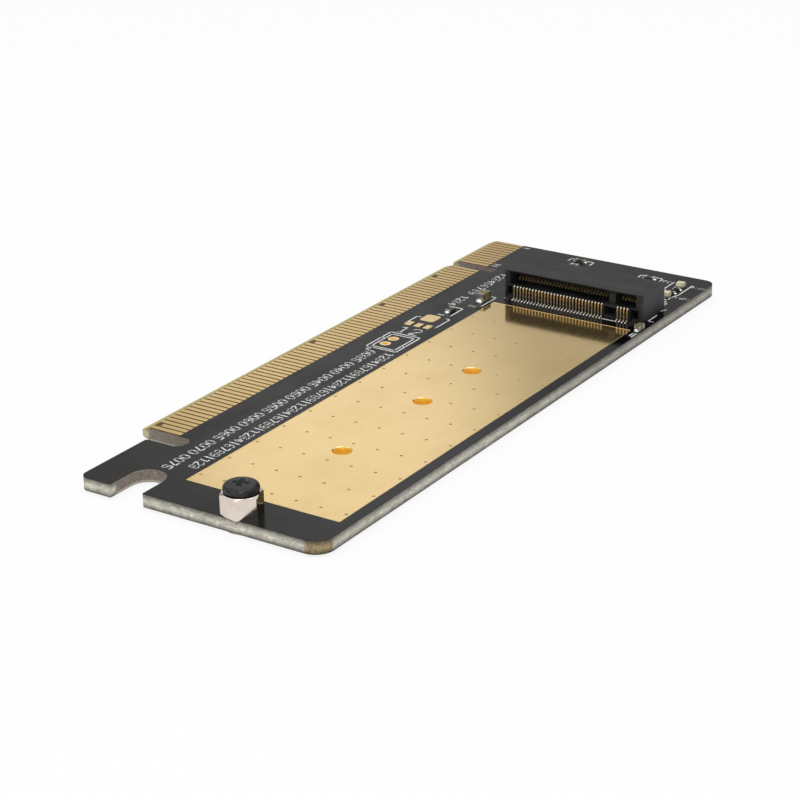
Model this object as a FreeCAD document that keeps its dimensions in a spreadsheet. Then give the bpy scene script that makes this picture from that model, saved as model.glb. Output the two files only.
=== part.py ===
import FreeCAD, Part
import math
import os
import Sketcher

# Adapter card that carries one flat solid state drive in a sixteen lane card slot.
#
# Frame, in millimetres: the origin is on the finger edge at the middle of the key notch and at
# half the board's thickness. +X runs along the fingers from the bracket end to the hook end,
# +Y runs from the finger edge towards the plain long edge, and +Z points out of the face that
# carries the drive socket.

Vector = FreeCAD.Vector

SIZES = (
    # the laminate and its outline
    ("board_thick", 1.6),
    ("board_start", 12.0),
    ("board_end", 87.5),
    ("board_width", 38.1),
    ("board_corner_r", 2.4),
    ("bracket_corner_r", 1.7),
    ("edge_corner_r", 0.5),
    ("key_width", 1.9),
    ("key_depth", 8.2),
    ("tongue_end", 72.15),
    ("end_slot_width", 2.8),
    ("end_slot_depth", 8.4),
    ("hook_low", 3.2),
    ("hook_width", 4.7),
    ("hook_nose_r", 1.2),
    ("latch_corner_r", 0.15),
    ("latch_width", 4.85),
    ("latch_depth", 6.2),
    ("bevel_length", 1.3),
    ("bevel_drop", 0.47),
    ("copper_thick", 0.05),
    ("mask_thick", 0.06),
    # the edge fingers
    ("finger_pitch", 1.0),
    ("finger_width", 0.7),
    ("finger_inner", 6.05),
    ("finger_short_by", 0.8),
    ("key_to_finger", 1.5),
    # the bare gold field under the drive
    ("field_start", 11.6),
    ("field_end", 81.8),
    ("field_width", 21.9),
    # the drive's place: its middle line, its plugged edge and its screw distances
    ("drive_axis", 25.65),
    ("drive_edge", 5.37),
    ("drive_short", 30.0),
    ("drive_medium", 42.0),
    ("drive_long", 60.0),
    ("drive_full", 80.0),
    ("screw_hole_r", 1.75),
    ("barrel_wall", 0.18),
    # the drive socket
    ("socket_back", 1.85),
    ("socket_front", 8.5),
    ("socket_end", 1.75),
    ("socket_height", 4.0),
    ("socket_roof", 0.62),
    ("socket_skin", 0.18),
    ("mouth_end", 0.8),
    ("mouth_floor", 1.5),
    ("mouth_lead", 0.45),
    ("jaw_front", 8.95),
    ("jaw_side", 0.33),
    ("jaw_lip", 0.75),
    ("jaw_height", 1.95),
    ("cell_end", 1.2),
    ("cell_sill", 0.4),
    ("cell_roof", 0.25),
    ("cell_depth", 2.4),
    ("rib_offset", 6.125),
    ("rib_width", 1.0),
    ("corner_cut", 0.3),
    # the socket's stamped contacts
    ("contact_pitch", 0.5),
    ("contact_width", 0.2),
    ("contact_thick", 0.12),
    ("contact_slot", 0.3),
    ("contact_play", 0.04),
    ("lower_toe", 9.62),
    ("lower_leg", 9.14),
    ("lower_crest", 2.0),
    ("lower_arm", 0.95),
    ("lower_dip", 0.5),
    ("upper_toe", 1.05),
    ("upper_leg", 2.05),
    ("upper_run", 3.15),
    ("upper_bend", 5.7),
    ("upper_nose", 7.2),
    ("upper_nose_height", 2.35),
    # the socket's solder nails
    ("nail_width", 0.75),
    ("nail_play", 0.12),
    ("nail_foot", 1.5),
    ("nail_height", 0.3),
    ("nail_thick", 0.12),
    # the standoff and its screw
    ("standoff_across", 4.5),
    ("standoff_height", 2.65),
    ("standoff_turn", 19.0),
    ("standoff_cut", 0.22),
    ("shank_play", 0.15),
    ("flare_r", 2.1),
    ("flare_thick", 0.3),
    ("thread_r", 0.85),
    ("thread_depth", 3.2),
    ("thread_play", 0.05),
    ("screw_length", 2.6),
    ("screw_head_r", 2.15),
    ("screw_head_height", 1.1),
    ("screw_head_cut", 0.35),
    ("recess_across", 1.9),
    ("recess_width", 0.5),
    ("recess_depth", 0.6),
    # the empty regulator footprint
    ("tab_x", 21.7),
    ("tab_y", 10.55),
    ("tab_length", 2.6),
    ("tab_width", 2.3),
    ("tab_corner_r", 0.6),
    ("lead_x", 24.75),
    ("lead_pitch", 1.5),
    ("lead_length", 1.5),
    ("lead_width", 0.95),
    # the empty two pin header footprint
    ("header_x", 31.93),
    ("header_y", 10.45),
    ("header_pitch", 2.0),
    ("header_hole_r", 0.42),
    ("header_ring", 0.36),
    # the small soldered parts
    ("filter_x", 11.75),
    ("filter_y", 13.15),
    ("filter_length", 2.0),
    ("filter_width", 1.2),
    ("filter_height", 1.25),
    ("side_x", 10.8),
    ("side_inset", 0.65),
    ("small_length", 1.6),
    ("small_width", 0.8),
    ("small_height", 0.8),
    ("chip_height", 0.4),
    ("end_share", 0.22),
    ("pull_x", 17.9),
    ("pull_y", 11.45),
    ("back_inset", 2.2),
    ("back_y", 17.0),
    ("series_inset", 3.7),
    ("series_side_inset", 8.9),
    ("lamp_side_inset", 3.6),
    ("lamp_inset", 4.25),
    ("lamp_pitch", 4.6),
    ("lamp_length", 1.7),
    ("lamp_width", 1.05),
    ("lamp_base", 0.25),
    ("lamp_height", 0.65),
    ("lamp_lens", 1.15),
    ("lamp_taper", 0.12),
    ("tiny_offset", 1.6),
    ("tiny_pitch", 1.7),
    ("tiny_side_inset", 3.35),
    ("tiny_length", 1.0),
    ("tiny_width", 0.5),
    ("tiny_height", 0.35),
)

NOTCH_ROUND_SHARE = 0.49
FRONT_SHORT_FINGERS = (17, 31, 48, 81)
BACK_SHORT_FINGERS = (1,)
HEXAGON_SIDES = 6
FINGER_COUNT_BEFORE_KEY = 11
FINGER_COUNT_AFTER_KEY = 71
LOWER_CONTACT_COUNTS = (29, 4)
UPPER_CONTACT_COUNTS = (29, 5)
CONTACT_PLACE_COUNT = 75
KEY_PLACE_COUNT = 8


class Size:
    """A length that knows both its value now and the sheet's formula that gives it."""

    def __init__(self, value, formula):
        self.value = value
        self.formula = formula

    def __add__(self, other):
        other = as_size(other)
        return Size(self.value + other.value, f"({self.formula} + {other.formula})")

    def __sub__(self, other):
        other = as_size(other)
        return Size(self.value - other.value, f"({self.formula} - {other.formula})")

    def __mul__(self, other):
        other = as_size(other)
        return Size(self.value * other.value, f"({self.formula} * {other.formula})")

    def __truediv__(self, other):
        other = as_size(other)
        return Size(self.value / other.value, f"({self.formula} / {other.formula})")

    def __neg__(self):
        return Size(-self.value, f"(0 - {self.formula})")


def as_size(number):
    """A plain number as a Size, so that both can be added."""
    if isinstance(number, Size):
        return number
    return Size(float(number), f"({float(number)!r})")


class Sizes:
    """The spreadsheet of driving dimensions, read by name."""

    def __init__(self, document, table):
        self.sheet = document.addObject("Spreadsheet::Sheet", "sizes")
        self.values = dict(table)
        for row, (name, value) in enumerate(table, start=1):
            self.sheet.set(f"A{row}", name)
            self.sheet.set(f"B{row}", str(value))
            self.sheet.setAlias(f"B{row}", name)

    def __getattr__(self, name):
        return Size(self.values[name], f"sizes.{name}")


doc = FreeCAD.newDocument("drive_adapter_card")
s = Sizes(doc, SIZES)
doc.recompute()

board_top = s.board_thick / 2
board_bottom = -board_top
mask_top = board_top + s.mask_thick
mask_bottom = board_bottom - s.mask_thick


def bind(thing, name, size):
    """Ties one property of an object to the sheet."""
    thing.setExpression(name, as_size(size).formula)


def place(thing, x, y, z):
    """Ties an object's placement to the sheet."""
    bind(thing, "Placement.Base.x", x)
    bind(thing, "Placement.Base.y", y)
    bind(thing, "Placement.Base.z", z)


def make_body(name, several=False):
    """An empty body, which may hold several separate solids."""
    body = doc.addObject("PartDesign::Body", name)
    body.Label = name
    body.AllowCompound = several
    return body


def origin_part(body, role):
    """One of a body's own origin planes or axes."""
    return next(part for part in body.Origin.OriginFeatures if part.Role == role)


def make_sketch(body, name, plane="XY_Plane", offset=0.0):
    """A sketch on one of a body's origin planes, moved along that plane's normal."""
    sketch = body.newObject("Sketcher::SketchObject", name)
    sketch.AttachmentSupport = (origin_part(body, plane), [""])
    sketch.MapMode = "FlatFace"
    bind(sketch, "AttachmentOffset.Base.z", offset)
    return sketch


def fix_point(sketch, line, end, x, y):
    """Dimensions that hold one end of a line at x, y from the sketch's origin."""
    for kind, size in (("DistanceX", as_size(x)), ("DistanceY", as_size(y))):
        index = sketch.addConstraint(Sketcher.Constraint(kind, -1, 1, line, end, size.value))
        sketch.setExpression(f"Constraints[{index}]", size.formula)


def draw_polygon(sketch, points):
    """A closed run of straight lines whose corners are all dimensioned from the origin."""
    corners = [Vector(as_size(x).value, as_size(y).value, 0) for x, y in points]
    first = sketch.GeometryCount
    count = len(points)
    for index in range(count):
        sketch.addGeometry(Part.LineSegment(corners[index], corners[(index + 1) % count]))
    for index, (x, y) in enumerate(points):
        following = first + (index + 1) % count
        sketch.addConstraint(Sketcher.Constraint("Coincident", first + index, 2, following, 1))
        fix_point(sketch, first + index, 1, x, y)


def draw_rectangle(sketch, low_x, low_y, high_x, high_y):
    """An upright rectangle between two corners."""
    draw_polygon(sketch, ((low_x, low_y), (high_x, low_y), (high_x, high_y), (low_x, high_y)))


def draw_circle(sketch, x, y, radius):
    """A circle with its centre and radius dimensioned."""
    radius = as_size(radius)
    centre = Vector(as_size(x).value, as_size(y).value, 0)
    index = sketch.addGeometry(Part.Circle(centre, Vector(0, 0, 1), radius.value))
    fix_point(sketch, index, 3, x, y)
    bound = sketch.addConstraint(Sketcher.Constraint("Radius", index, radius.value))
    sketch.setExpression(f"Constraints[{bound}]", radius.formula)


def draw_rounded(sketch, corners):
    """A closed run of level and upright lines, anticlockwise, with a round at every corner.

    Each corner is x, y and radius. Every line is held level or upright at its own distance
    from the origin, and every round is tangent to the two lines that it joins.
    """
    count = len(corners)
    spots = [Vector(as_size(x).value, as_size(y).value, 0) for x, y, _ in corners]
    radii = [as_size(radius) for _, _, radius in corners]
    ways = [(spots[(i + 1) % count] - spots[i]).normalize() for i in range(count)]
    lines = []
    rounds = []
    for i in range(count):
        start = spots[i] + ways[i] * radii[i].value
        stop = spots[(i + 1) % count] - ways[i] * radii[(i + 1) % count].value
        lines.append(sketch.addGeometry(Part.LineSegment(start, stop)))
    for i in range(count):
        before, after, radius = ways[i - 1], ways[i], radii[i].value
        centre = spots[i] + (after - before) * radius
        middle = centre + (before - after).normalize() * radius
        start, stop = spots[i] - before * radius, spots[i] + after * radius
        rounds.append(sketch.addGeometry(Part.Arc(start, middle, stop)))
    for i in range(count):
        turns_left = ways[i - 1].cross(ways[i]).z > 0
        entry, leave = (1, 2) if turns_left else (2, 1)
        sketch.addConstraint(Sketcher.Constraint("Tangent", lines[i - 1], 2, rounds[i], entry))
        sketch.addConstraint(Sketcher.Constraint("Tangent", rounds[i], leave, lines[i], 1))
        bound = sketch.addConstraint(Sketcher.Constraint("Radius", rounds[i], radii[i].value))
        sketch.setExpression(f"Constraints[{bound}]", radii[i].formula)
        level = abs(ways[i].y) < 0.5
        sketch.addConstraint(Sketcher.Constraint("Horizontal" if level else "Vertical", lines[i]))
        kind, size = ("DistanceY", corners[i][1]) if level else ("DistanceX", corners[i][0])
        size = as_size(size)
        bound = sketch.addConstraint(Sketcher.Constraint(kind, -1, 1, lines[i], 1, size.value))
        sketch.setExpression(f"Constraints[{bound}]", size.formula)


def pad(body, sketch, length, name, middle=False, reverse=False):
    """Adds a sketch's area, drawn out along its normal."""
    feature = body.newObject("PartDesign::Pad", name)
    feature.Profile = sketch
    feature.SideType = "Symmetric" if middle else "One side"
    feature.Reversed = reverse
    bind(feature, "Length", length)
    doc.recompute()
    return feature


def pocket(body, sketch, length, name, middle=False, reverse=False):
    """Cuts a sketch's area away along its normal, and checks that something was cut."""
    before = body.Shape.Volume
    feature = body.newObject("PartDesign::Pocket", name)
    feature.Profile = sketch
    feature.SideType = "Symmetric" if middle else "One side"
    feature.Reversed = reverse
    bind(feature, "Length", length)
    doc.recompute()
    if body.Shape.Volume >= before:
        raise RuntimeError(f"{name} cuts nothing")
    return feature


def repeat(body, feature, count, pitch, name, axis="X_Axis"):
    """Repeats a feature along one of the body's axes."""
    pattern = body.newObject("PartDesign::LinearPattern", name)
    pattern.Originals = [feature]
    pattern.Direction = (origin_part(body, axis), [""])
    pattern.Mode = "Spacing"
    bind(pattern, "Offset", pitch)
    pattern.Occurrences = count
    body.Tip = pattern
    doc.recompute()
    return pattern


def make_block(name, low, size):
    """A plain block from its low corner and its three lengths."""
    block = doc.addObject("Part::Box", name)
    block.Label = name
    for side, length in zip(("Length", "Width", "Height"), size):
        bind(block, side, length)
    place(block, *low)
    return block


def make_group(name, pieces):
    """Separate solids that share one node."""
    group = doc.addObject("Part::Compound", name)
    group.Label = name
    group.Links = pieces
    return group


def board_outline(sketch):
    """The card's outline: tongue, key notch, end slot, hook, latch notch and plain edges."""
    key_half = s.key_width / 2
    slot_end = s.tongue_end + s.end_slot_width
    hook_high = s.hook_low + s.hook_width
    latch_high = hook_high + s.latch_width
    latch_end = s.board_end - s.latch_depth
    key_round = s.key_width * NOTCH_ROUND_SHARE
    slot_round = s.end_slot_width * NOTCH_ROUND_SHARE
    latch_round = s.latch_width * NOTCH_ROUND_SHARE
    draw_rounded(sketch, (
        (-s.board_start, 0, s.edge_corner_r),
        (-key_half, 0, s.edge_corner_r),
        (-key_half, s.key_depth, key_round),
        (key_half, s.key_depth, key_round),
        (key_half, 0, s.edge_corner_r),
        (s.tongue_end, 0, s.edge_corner_r),
        (s.tongue_end, s.end_slot_depth, slot_round),
        (slot_end, s.end_slot_depth, slot_round),
        (slot_end, s.hook_low, s.edge_corner_r),
        (s.board_end, s.hook_low, s.hook_nose_r),
        (s.board_end, hook_high, s.latch_corner_r),
        (latch_end, hook_high, latch_round),
        (latch_end, latch_high, latch_round),
        (s.board_end, latch_high, s.latch_corner_r),
        (s.board_end, s.board_width, s.board_corner_r),
        (-s.board_start, s.board_width, s.bracket_corner_r),
    ))


def drive_holes():
    """Middles of the four screw places, from the shortest drive to the full length one."""
    lengths = (s.drive_short, s.drive_medium, s.drive_long, s.drive_full)
    return [(s.drive_edge + length, s.drive_axis) for length in lengths]


def header_holes():
    """Middles of the two pin holes of the empty header."""
    half = s.header_pitch / 2
    return [(s.header_x - half, s.header_y), (s.header_x + half, s.header_y)]


def draw_holes(sketch, header_r):
    """The drilled screw holes, and the header's pin holes at a radius of their own."""
    for x, y in drive_holes():
        draw_circle(sketch, x, y, s.screw_hole_r + s.barrel_wall)
    for x, y in header_holes():
        draw_circle(sketch, x, y, header_r)


def make_laminate():
    """The glass fibre board, bevelled along its finger edge and drilled."""
    body = make_body("board_laminate")
    outline = make_sketch(body, "laminate_outline")
    board_outline(outline)
    pad(body, outline, s.board_thick, "laminate_pad", middle=True)
    bevel = make_sketch(body, "bevel_profile", "YZ_Plane")
    past = s.board_thick
    nose = board_top - s.bevel_drop
    for side in (1, -1):
        draw_polygon(bevel, (
            (s.bevel_length, board_top * side),
            (-past * s.bevel_length / s.bevel_drop, (board_top + past) * side),
            (-past * s.bevel_length / s.bevel_drop, nose * side),
            (0, nose * side),
        ))
    pocket(body, bevel, (s.board_start + s.board_end) * 2, "bevel_cut", middle=True)
    holes = make_sketch(body, "laminate_holes")
    draw_holes(holes, s.header_hole_r)
    pocket(body, holes, s.board_thick * 2, "laminate_drilling", middle=True)
    return body


def make_mask(name, side):
    """The dark lacquer on one face, open over the fingers, the gold field and the pads."""
    body = make_body(name)
    level = board_top if side > 0 else mask_bottom
    outline = make_sketch(body, f"{name}_outline", offset=level)
    board_outline(outline)
    pad(body, outline, s.mask_thick, f"{name}_pad")
    window = make_sketch(body, f"{name}_windows", offset=level + s.mask_thick)
    past = s.board_start + s.edge_corner_r
    slot_middle = s.tongue_end + s.end_slot_width / 2
    draw_rectangle(window, -past, -s.edge_corner_r, slot_middle, s.finger_inner)
    if side > 0:
        draw_rectangle(window, *gold_field())
        for low, high in regulator_pads():
            draw_rectangle(window, *low, *high)
    pocket(body, window, s.mask_thick, f"{name}_opening")
    holes = make_sketch(body, f"{name}_holes", offset=level + s.mask_thick)
    if side > 0:
        for x, y in header_holes():
            draw_circle(holes, x, y, s.header_hole_r + s.header_ring)
        draw_circle(holes, *drive_holes()[-1], s.screw_hole_r + s.barrel_wall)
    else:
        draw_holes(holes, s.header_hole_r)
    pocket(body, holes, s.mask_thick, f"{name}_drilling")
    return body


def make_fingers(name, side, short_fingers):
    """One face's row of gold edge fingers, with the short ones cut back."""
    body = make_body(name, several=True)
    level = board_top if side > 0 else board_bottom
    rows = (
        ("before_key", finger_middle(1), FINGER_COUNT_BEFORE_KEY),
        ("after_key", finger_middle(FINGER_COUNT_BEFORE_KEY + 1), FINGER_COUNT_AFTER_KEY),
    )
    for label, first, count in rows:
        sketch = make_sketch(body, f"{name}_{label}_sketch", offset=level)
        low, high = first - s.finger_width / 2, first + s.finger_width / 2
        draw_rectangle(sketch, low, s.bevel_length, high, s.finger_inner)
        finger = pad(body, sketch, s.copper_thick, f"{name}_{label}", reverse=side < 0)
        repeat(body, finger, count, s.finger_pitch, f"{name}_{label}_row")
    cut = make_sketch(body, f"{name}_short_sketch", offset=level)
    short_start = s.bevel_length + s.finger_short_by
    for number in short_fingers:
        middle = finger_middle(number)
        low, high = middle - s.finger_pitch / 2, middle + s.finger_pitch / 2
        draw_rectangle(cut, low, 0, high, short_start)
    pocket(body, cut, s.copper_thick * 2, f"{name}_short", middle=True)
    return body


def finger_middle(number):
    """X of a finger, counted from the bracket end."""
    if number <= FINGER_COUNT_BEFORE_KEY:
        return -s.key_to_finger - s.finger_pitch * (FINGER_COUNT_BEFORE_KEY - number)
    return s.key_to_finger + s.finger_pitch * (number - FINGER_COUNT_BEFORE_KEY - 1)


def gold_field():
    """Low and high corners of the bare gold field, which lies evenly about the drive's axis."""
    half = s.field_width / 2
    return s.field_start, s.drive_axis - half, s.field_end, s.drive_axis + half


def make_gold_field():
    """The bare gold ground area under the drive, open at the screw holes inside it."""
    body = make_body("ground_field")
    sketch = make_sketch(body, "field_sketch", offset=board_top)
    draw_rectangle(sketch, *gold_field())
    for x, y in drive_holes()[:3]:
        draw_circle(sketch, x, y, s.screw_hole_r + s.barrel_wall)
    pad(body, sketch, s.copper_thick, "field_pad")
    return body


def make_barrels():
    """The thin plated walls of the three open screw holes."""
    body = make_body("screw_hole_barrels", several=True)
    sketch = make_sketch(body, "barrel_sketch", offset=board_bottom - s.copper_thick)
    for x, y in drive_holes()[:3]:
        draw_circle(sketch, x, y, s.screw_hole_r)
        draw_circle(sketch, x, y, s.screw_hole_r + s.barrel_wall)
    pad(body, sketch, s.board_thick + s.copper_thick * 2, "barrel_pad")
    return body


def make_header_rings():
    """The flat gold rings around the empty header's two pin holes."""
    body = make_body("header_rings", several=True)
    sketch = make_sketch(body, "ring_sketch", offset=board_top)
    for x, y in header_holes():
        draw_circle(sketch, x, y, s.header_hole_r)
        draw_circle(sketch, x, y, s.header_hole_r + s.header_ring)
    pad(body, sketch, s.copper_thick, "ring_pad")
    return body


def regulator_pads():
    """Low and high corners of the empty regulator's tab pad and three lead pads."""
    half_tab, half_wide = s.tab_length / 2, s.tab_width / 2
    pads = [((s.tab_x - half_tab, s.tab_y - half_wide), (s.tab_x + half_tab, s.tab_y + half_wide))]
    half_lead, half_width = s.lead_length / 2, s.lead_width / 2
    for step in (-1, 0, 1):
        middle = s.tab_y + s.lead_pitch * step
        low = (s.lead_x - half_lead, middle - half_width)
        high = (s.lead_x + half_lead, middle + half_width)
        pads.append((low, high))
    return pads


def make_regulator_pads():
    """A bare gold tab pad with rounded corners, and three plain lead pads."""
    body = make_body("regulator_pads", several=True)
    sketch = make_sketch(body, "regulator_sketch", offset=board_top)
    tab, *leads = regulator_pads()
    (low_x, low_y), (high_x, high_y) = tab
    draw_rounded(sketch, (
        (low_x, low_y, s.tab_corner_r),
        (high_x, low_y, s.tab_corner_r),
        (high_x, high_y, s.tab_corner_r),
        (low_x, high_y, s.tab_corner_r),
    ))
    for low, high in leads:
        draw_rectangle(sketch, *low, *high)
    pad(body, sketch, s.copper_thick, "regulator_pad")
    return body


def contact_row_half():
    """From the drive's axis to the outermost contact place."""
    return s.contact_pitch / 2 * (CONTACT_PLACE_COUNT - 1) / 2


def contact_groups(counts, places_before):
    """First Y and count of the two groups of one contact row, split by the key rib."""
    place_pitch = s.contact_pitch / 2
    first = s.drive_axis - contact_row_half() + place_pitch * places_before
    gap = s.contact_pitch * counts[0] + place_pitch * KEY_PLACE_COUNT
    return ((first, counts[0]), (first + gap, counts[1]))


def lower_groups():
    """The two groups of lower contacts."""
    return contact_groups(LOWER_CONTACT_COUNTS, 1)


def upper_groups():
    """The two groups of upper contacts."""
    return contact_groups(UPPER_CONTACT_COUNTS, 0)


def make_housing():
    """The moulded socket: a block with a mouth, a key rib and a slot for every contact."""
    body = make_body("socket_housing")
    half = contact_row_half() + s.socket_end
    low_y, high_y = s.drive_axis - half, s.drive_axis + half
    top = mask_top + s.socket_height
    roof_low = top - s.socket_roof
    floor = mask_top + s.mouth_floor
    lip = mask_top + s.jaw_height
    mouth_back = s.drive_edge - s.contact_thick
    past = s.jaw_front + s.jaw_lip

    block = make_sketch(body, "housing_plan", offset=mask_top)
    draw_polygon(block, (
        (s.socket_back, low_y),
        (s.socket_front - s.corner_cut, low_y),
        (s.socket_front, low_y + s.corner_cut),
        (s.socket_front, high_y - s.corner_cut),
        (s.socket_front - s.corner_cut, high_y),
        (s.socket_back, high_y),
    ))
    pad(body, block, s.socket_height, "housing_block")

    jaw_low, jaw_high = jaw_sides()
    jaw = make_sketch(body, "jaw_plan", offset=mask_top)
    draw_rectangle(jaw, s.socket_front - s.jaw_lip, jaw_low, s.jaw_front, jaw_high)
    pad(body, jaw, s.jaw_height, "jaw_block")

    mouth = make_sketch(body, "mouth_profile", "XZ_Plane", -s.drive_axis)
    draw_polygon(mouth, (
        (mouth_back, floor),
        (s.socket_front - s.jaw_lip, floor),
        (s.socket_front - s.jaw_lip / 2, lip),
        (past, lip),
        (past, top - s.contact_thick),
        (s.socket_front, top - s.contact_thick),
        (s.socket_front - s.mouth_lead, roof_low),
        (mouth_back, roof_low),
    ))
    mouth_length = (contact_row_half() + s.mouth_end) * 2
    pocket(body, mouth, mouth_length, "mouth_cut", middle=True)

    rib = make_sketch(body, "rib_plan", offset=floor)
    rib_middle = s.drive_axis + s.rib_offset
    low_rib, high_rib = rib_middle - s.rib_width / 2, rib_middle + s.rib_width / 2
    draw_rectangle(rib, mouth_back, low_rib, s.socket_front - s.mouth_lead, high_rib)
    pad(body, rib, roof_low - floor, "rib_pad")

    cells = make_sketch(body, "cell_openings", "YZ_Plane", s.jaw_front)
    sill, cell_top = mask_top + s.cell_sill, lip - s.cell_roof
    for cell_low, cell_high in blind_cells():
        draw_rectangle(cells, cell_low, sill, cell_high, cell_top)
    pocket(body, cells, s.cell_depth, "cell_cut")

    slot_rows = (
        ("lower", lower_groups(), lower_slot_profile(lip)),
        ("upper", upper_groups(), upper_slot_profile()),
    )
    for label, groups, profile in slot_rows:
        for index, (first, count) in enumerate(groups):
            sketch = make_sketch(body, f"{label}_slot_{index}_sketch", "XZ_Plane", -first)
            draw_polygon(sketch, profile)
            slot = pocket(body, sketch, s.contact_slot, f"{label}_slot_{index}", middle=True)
            repeat(body, slot, count, s.contact_pitch, f"{label}_slot_{index}_row", "Y_Axis")
    return body


def jaw_sides():
    """The two ends of the lower jaw, just past its outermost contacts."""
    (first, _), (second, count) = lower_groups()
    last = second + s.contact_pitch * (count - 1)
    return first - s.jaw_side, last + s.jaw_side


def blind_cells():
    """Low and high Y of the jaw's open cells: one at each end, and one under the key rib."""
    (first, first_count), (second, _) = lower_groups()
    first_end = first + s.contact_pitch * (first_count - 1)
    jaw_low, jaw_high = jaw_sides()
    half = contact_row_half() + s.cell_end
    return (
        (s.drive_axis - half, jaw_low),
        (first_end + s.jaw_side, second - s.jaw_side),
        (jaw_high, s.drive_axis + half),
    )


def lower_slot_profile(lip):
    """The slot that one lower contact stands in, open at the front and top of the jaw."""
    back = s.lower_leg - s.lower_arm - s.contact_play
    past = s.jaw_front + s.jaw_lip
    return ((back, board_top), (past, board_top), (past, lip + s.jaw_lip), (back, lip + s.jaw_lip))


def upper_slot_profile():
    """The slot of one upper contact: up the back wall, under the roof and into its front."""
    leg_front = s.upper_leg + s.contact_thick + s.contact_play
    run_low = mask_top + s.upper_run - s.contact_play
    run_high = mask_top + s.upper_run + s.contact_thick + s.contact_play
    skin = mask_top + s.socket_height - s.socket_skin
    return (
        (s.upper_toe, board_top),
        (leg_front, board_top),
        (leg_front, run_low),
        (s.socket_front, run_low),
        (s.socket_front, skin),
        (s.upper_bend, skin),
        (s.upper_bend, run_high),
        (s.upper_toe, run_high),
    )


def lower_contact_profile():
    """Side view of a lower contact: foot, leg, crest and an arm that dips into the jaw."""
    thick = s.contact_thick
    leg_back = s.lower_leg - thick
    crest = mask_top + s.lower_crest
    arm_end = s.lower_leg - s.lower_arm
    return (
        (leg_back, mask_top),
        (s.lower_toe, mask_top),
        (s.lower_leg, mask_top + thick * 2),
        (s.lower_leg, crest - thick * 1.5),
        (s.lower_leg - thick * 1.5, crest),
        (arm_end, crest - s.lower_dip),
        (arm_end, crest - s.lower_dip - thick),
        (leg_back, crest - thick * 1.8),
    )


def upper_contact_profile():
    """Side view of an upper contact: foot, leg, run under the roof, and a nose that dips."""
    thick = s.contact_thick
    run = mask_top + s.upper_run
    nose = mask_top + s.upper_nose_height
    leg_front = s.upper_leg + thick
    return (
        (s.upper_toe, mask_top),
        (leg_front, mask_top),
        (leg_front, run),
        (s.upper_bend, run),
        (s.upper_nose, nose),
        (s.upper_nose + thick, nose + thick * 1.5),
        (s.upper_bend + thick, run + thick),
        (s.upper_leg, run + thick),
        (s.upper_leg, mask_top + thick),
    )


def make_contacts(name, groups, profile):
    """One row of stamped contacts, in the two groups beside the key rib."""
    body = make_body(name, several=True)
    for index, (first, count) in enumerate(groups):
        sketch = make_sketch(body, f"{name}_{index}_sketch", "XZ_Plane", -first)
        draw_polygon(sketch, profile)
        contact = pad(body, sketch, s.contact_width, f"{name}_{index}", middle=True)
        repeat(body, contact, count, s.contact_pitch, f"{name}_{index}_row", "Y_Axis")
    return body


def make_nails():
    """Two bent solder nails beside the lower jaw, which hold the socket's front down."""
    body = make_body("socket_solder_nails", several=True)
    back = s.socket_front
    jaw_low, jaw_high = jaw_sides()
    reach = s.nail_play + s.nail_width / 2
    for index, middle in enumerate((jaw_low - reach, jaw_high + reach)):
        sketch = make_sketch(body, f"nail_{index}_sketch", "XZ_Plane", -middle)
        draw_polygon(sketch, (
            (back, mask_top),
            (back + s.nail_foot, mask_top),
            (back + s.nail_foot, mask_top + s.nail_thick),
            (back + s.nail_thick, mask_top + s.nail_thick),
            (back + s.nail_thick, mask_top + s.nail_height),
            (back, mask_top + s.nail_height),
        ))
        pad(body, sketch, s.nail_width, f"nail_{index}", middle=True)
    return body


def make_standoff():
    """The hexagonal standoff: a turned top edge, a shank through the board, a flared foot."""
    body = make_body("standoff")
    radius = s.standoff_across / 2 / math.cos(math.pi / HEXAGON_SIDES)
    hexagon = make_sketch(body, "standoff_hexagon")
    angles = [math.tau * step / HEXAGON_SIDES for step in range(HEXAGON_SIDES)]
    draw_polygon(hexagon, [(radius * math.cos(a), radius * math.sin(a)) for a in angles])
    pad(body, hexagon, s.standoff_height, "standoff_column")

    edge = make_sketch(body, "standoff_edge_profile", "XZ_Plane")
    inner = s.standoff_across / 2
    outer = inner * 1.4
    rise = s.standoff_cut * (outer - inner).value / (radius - inner).value
    draw_polygon(edge, (
        (inner, s.standoff_height),
        (outer, s.standoff_height - rise),
        (outer, s.standoff_height),
    ))
    groove = body.newObject("PartDesign::Groove", "standoff_turned_edge")
    groove.Profile = edge
    groove.ReferenceAxis = (origin_part(body, "Z_Axis"), [""])
    groove.Angle = 360
    doc.recompute()

    shank = make_sketch(body, "standoff_shank_sketch")
    draw_circle(shank, 0, 0, s.screw_hole_r + s.barrel_wall - s.shank_play)
    shank_length = s.board_thick + s.mask_thick * 2
    pad(body, shank, shank_length + s.flare_thick, "standoff_shank", reverse=True)
    flare = make_sketch(body, "standoff_flare_sketch", offset=-shank_length)
    draw_circle(flare, 0, 0, s.flare_r)
    pad(body, flare, s.flare_thick, "standoff_flare", reverse=True)
    thread = make_sketch(body, "standoff_thread_sketch", offset=s.standoff_height)
    draw_circle(thread, 0, 0, s.thread_r)
    pocket(body, thread, s.thread_depth, "standoff_thread")
    x, y = drive_holes()[-1]
    body.Placement.Rotation = FreeCAD.Rotation(Vector(0, 0, 1), s.standoff_turn.value)
    place(body, x, y, mask_top)
    return body


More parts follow.
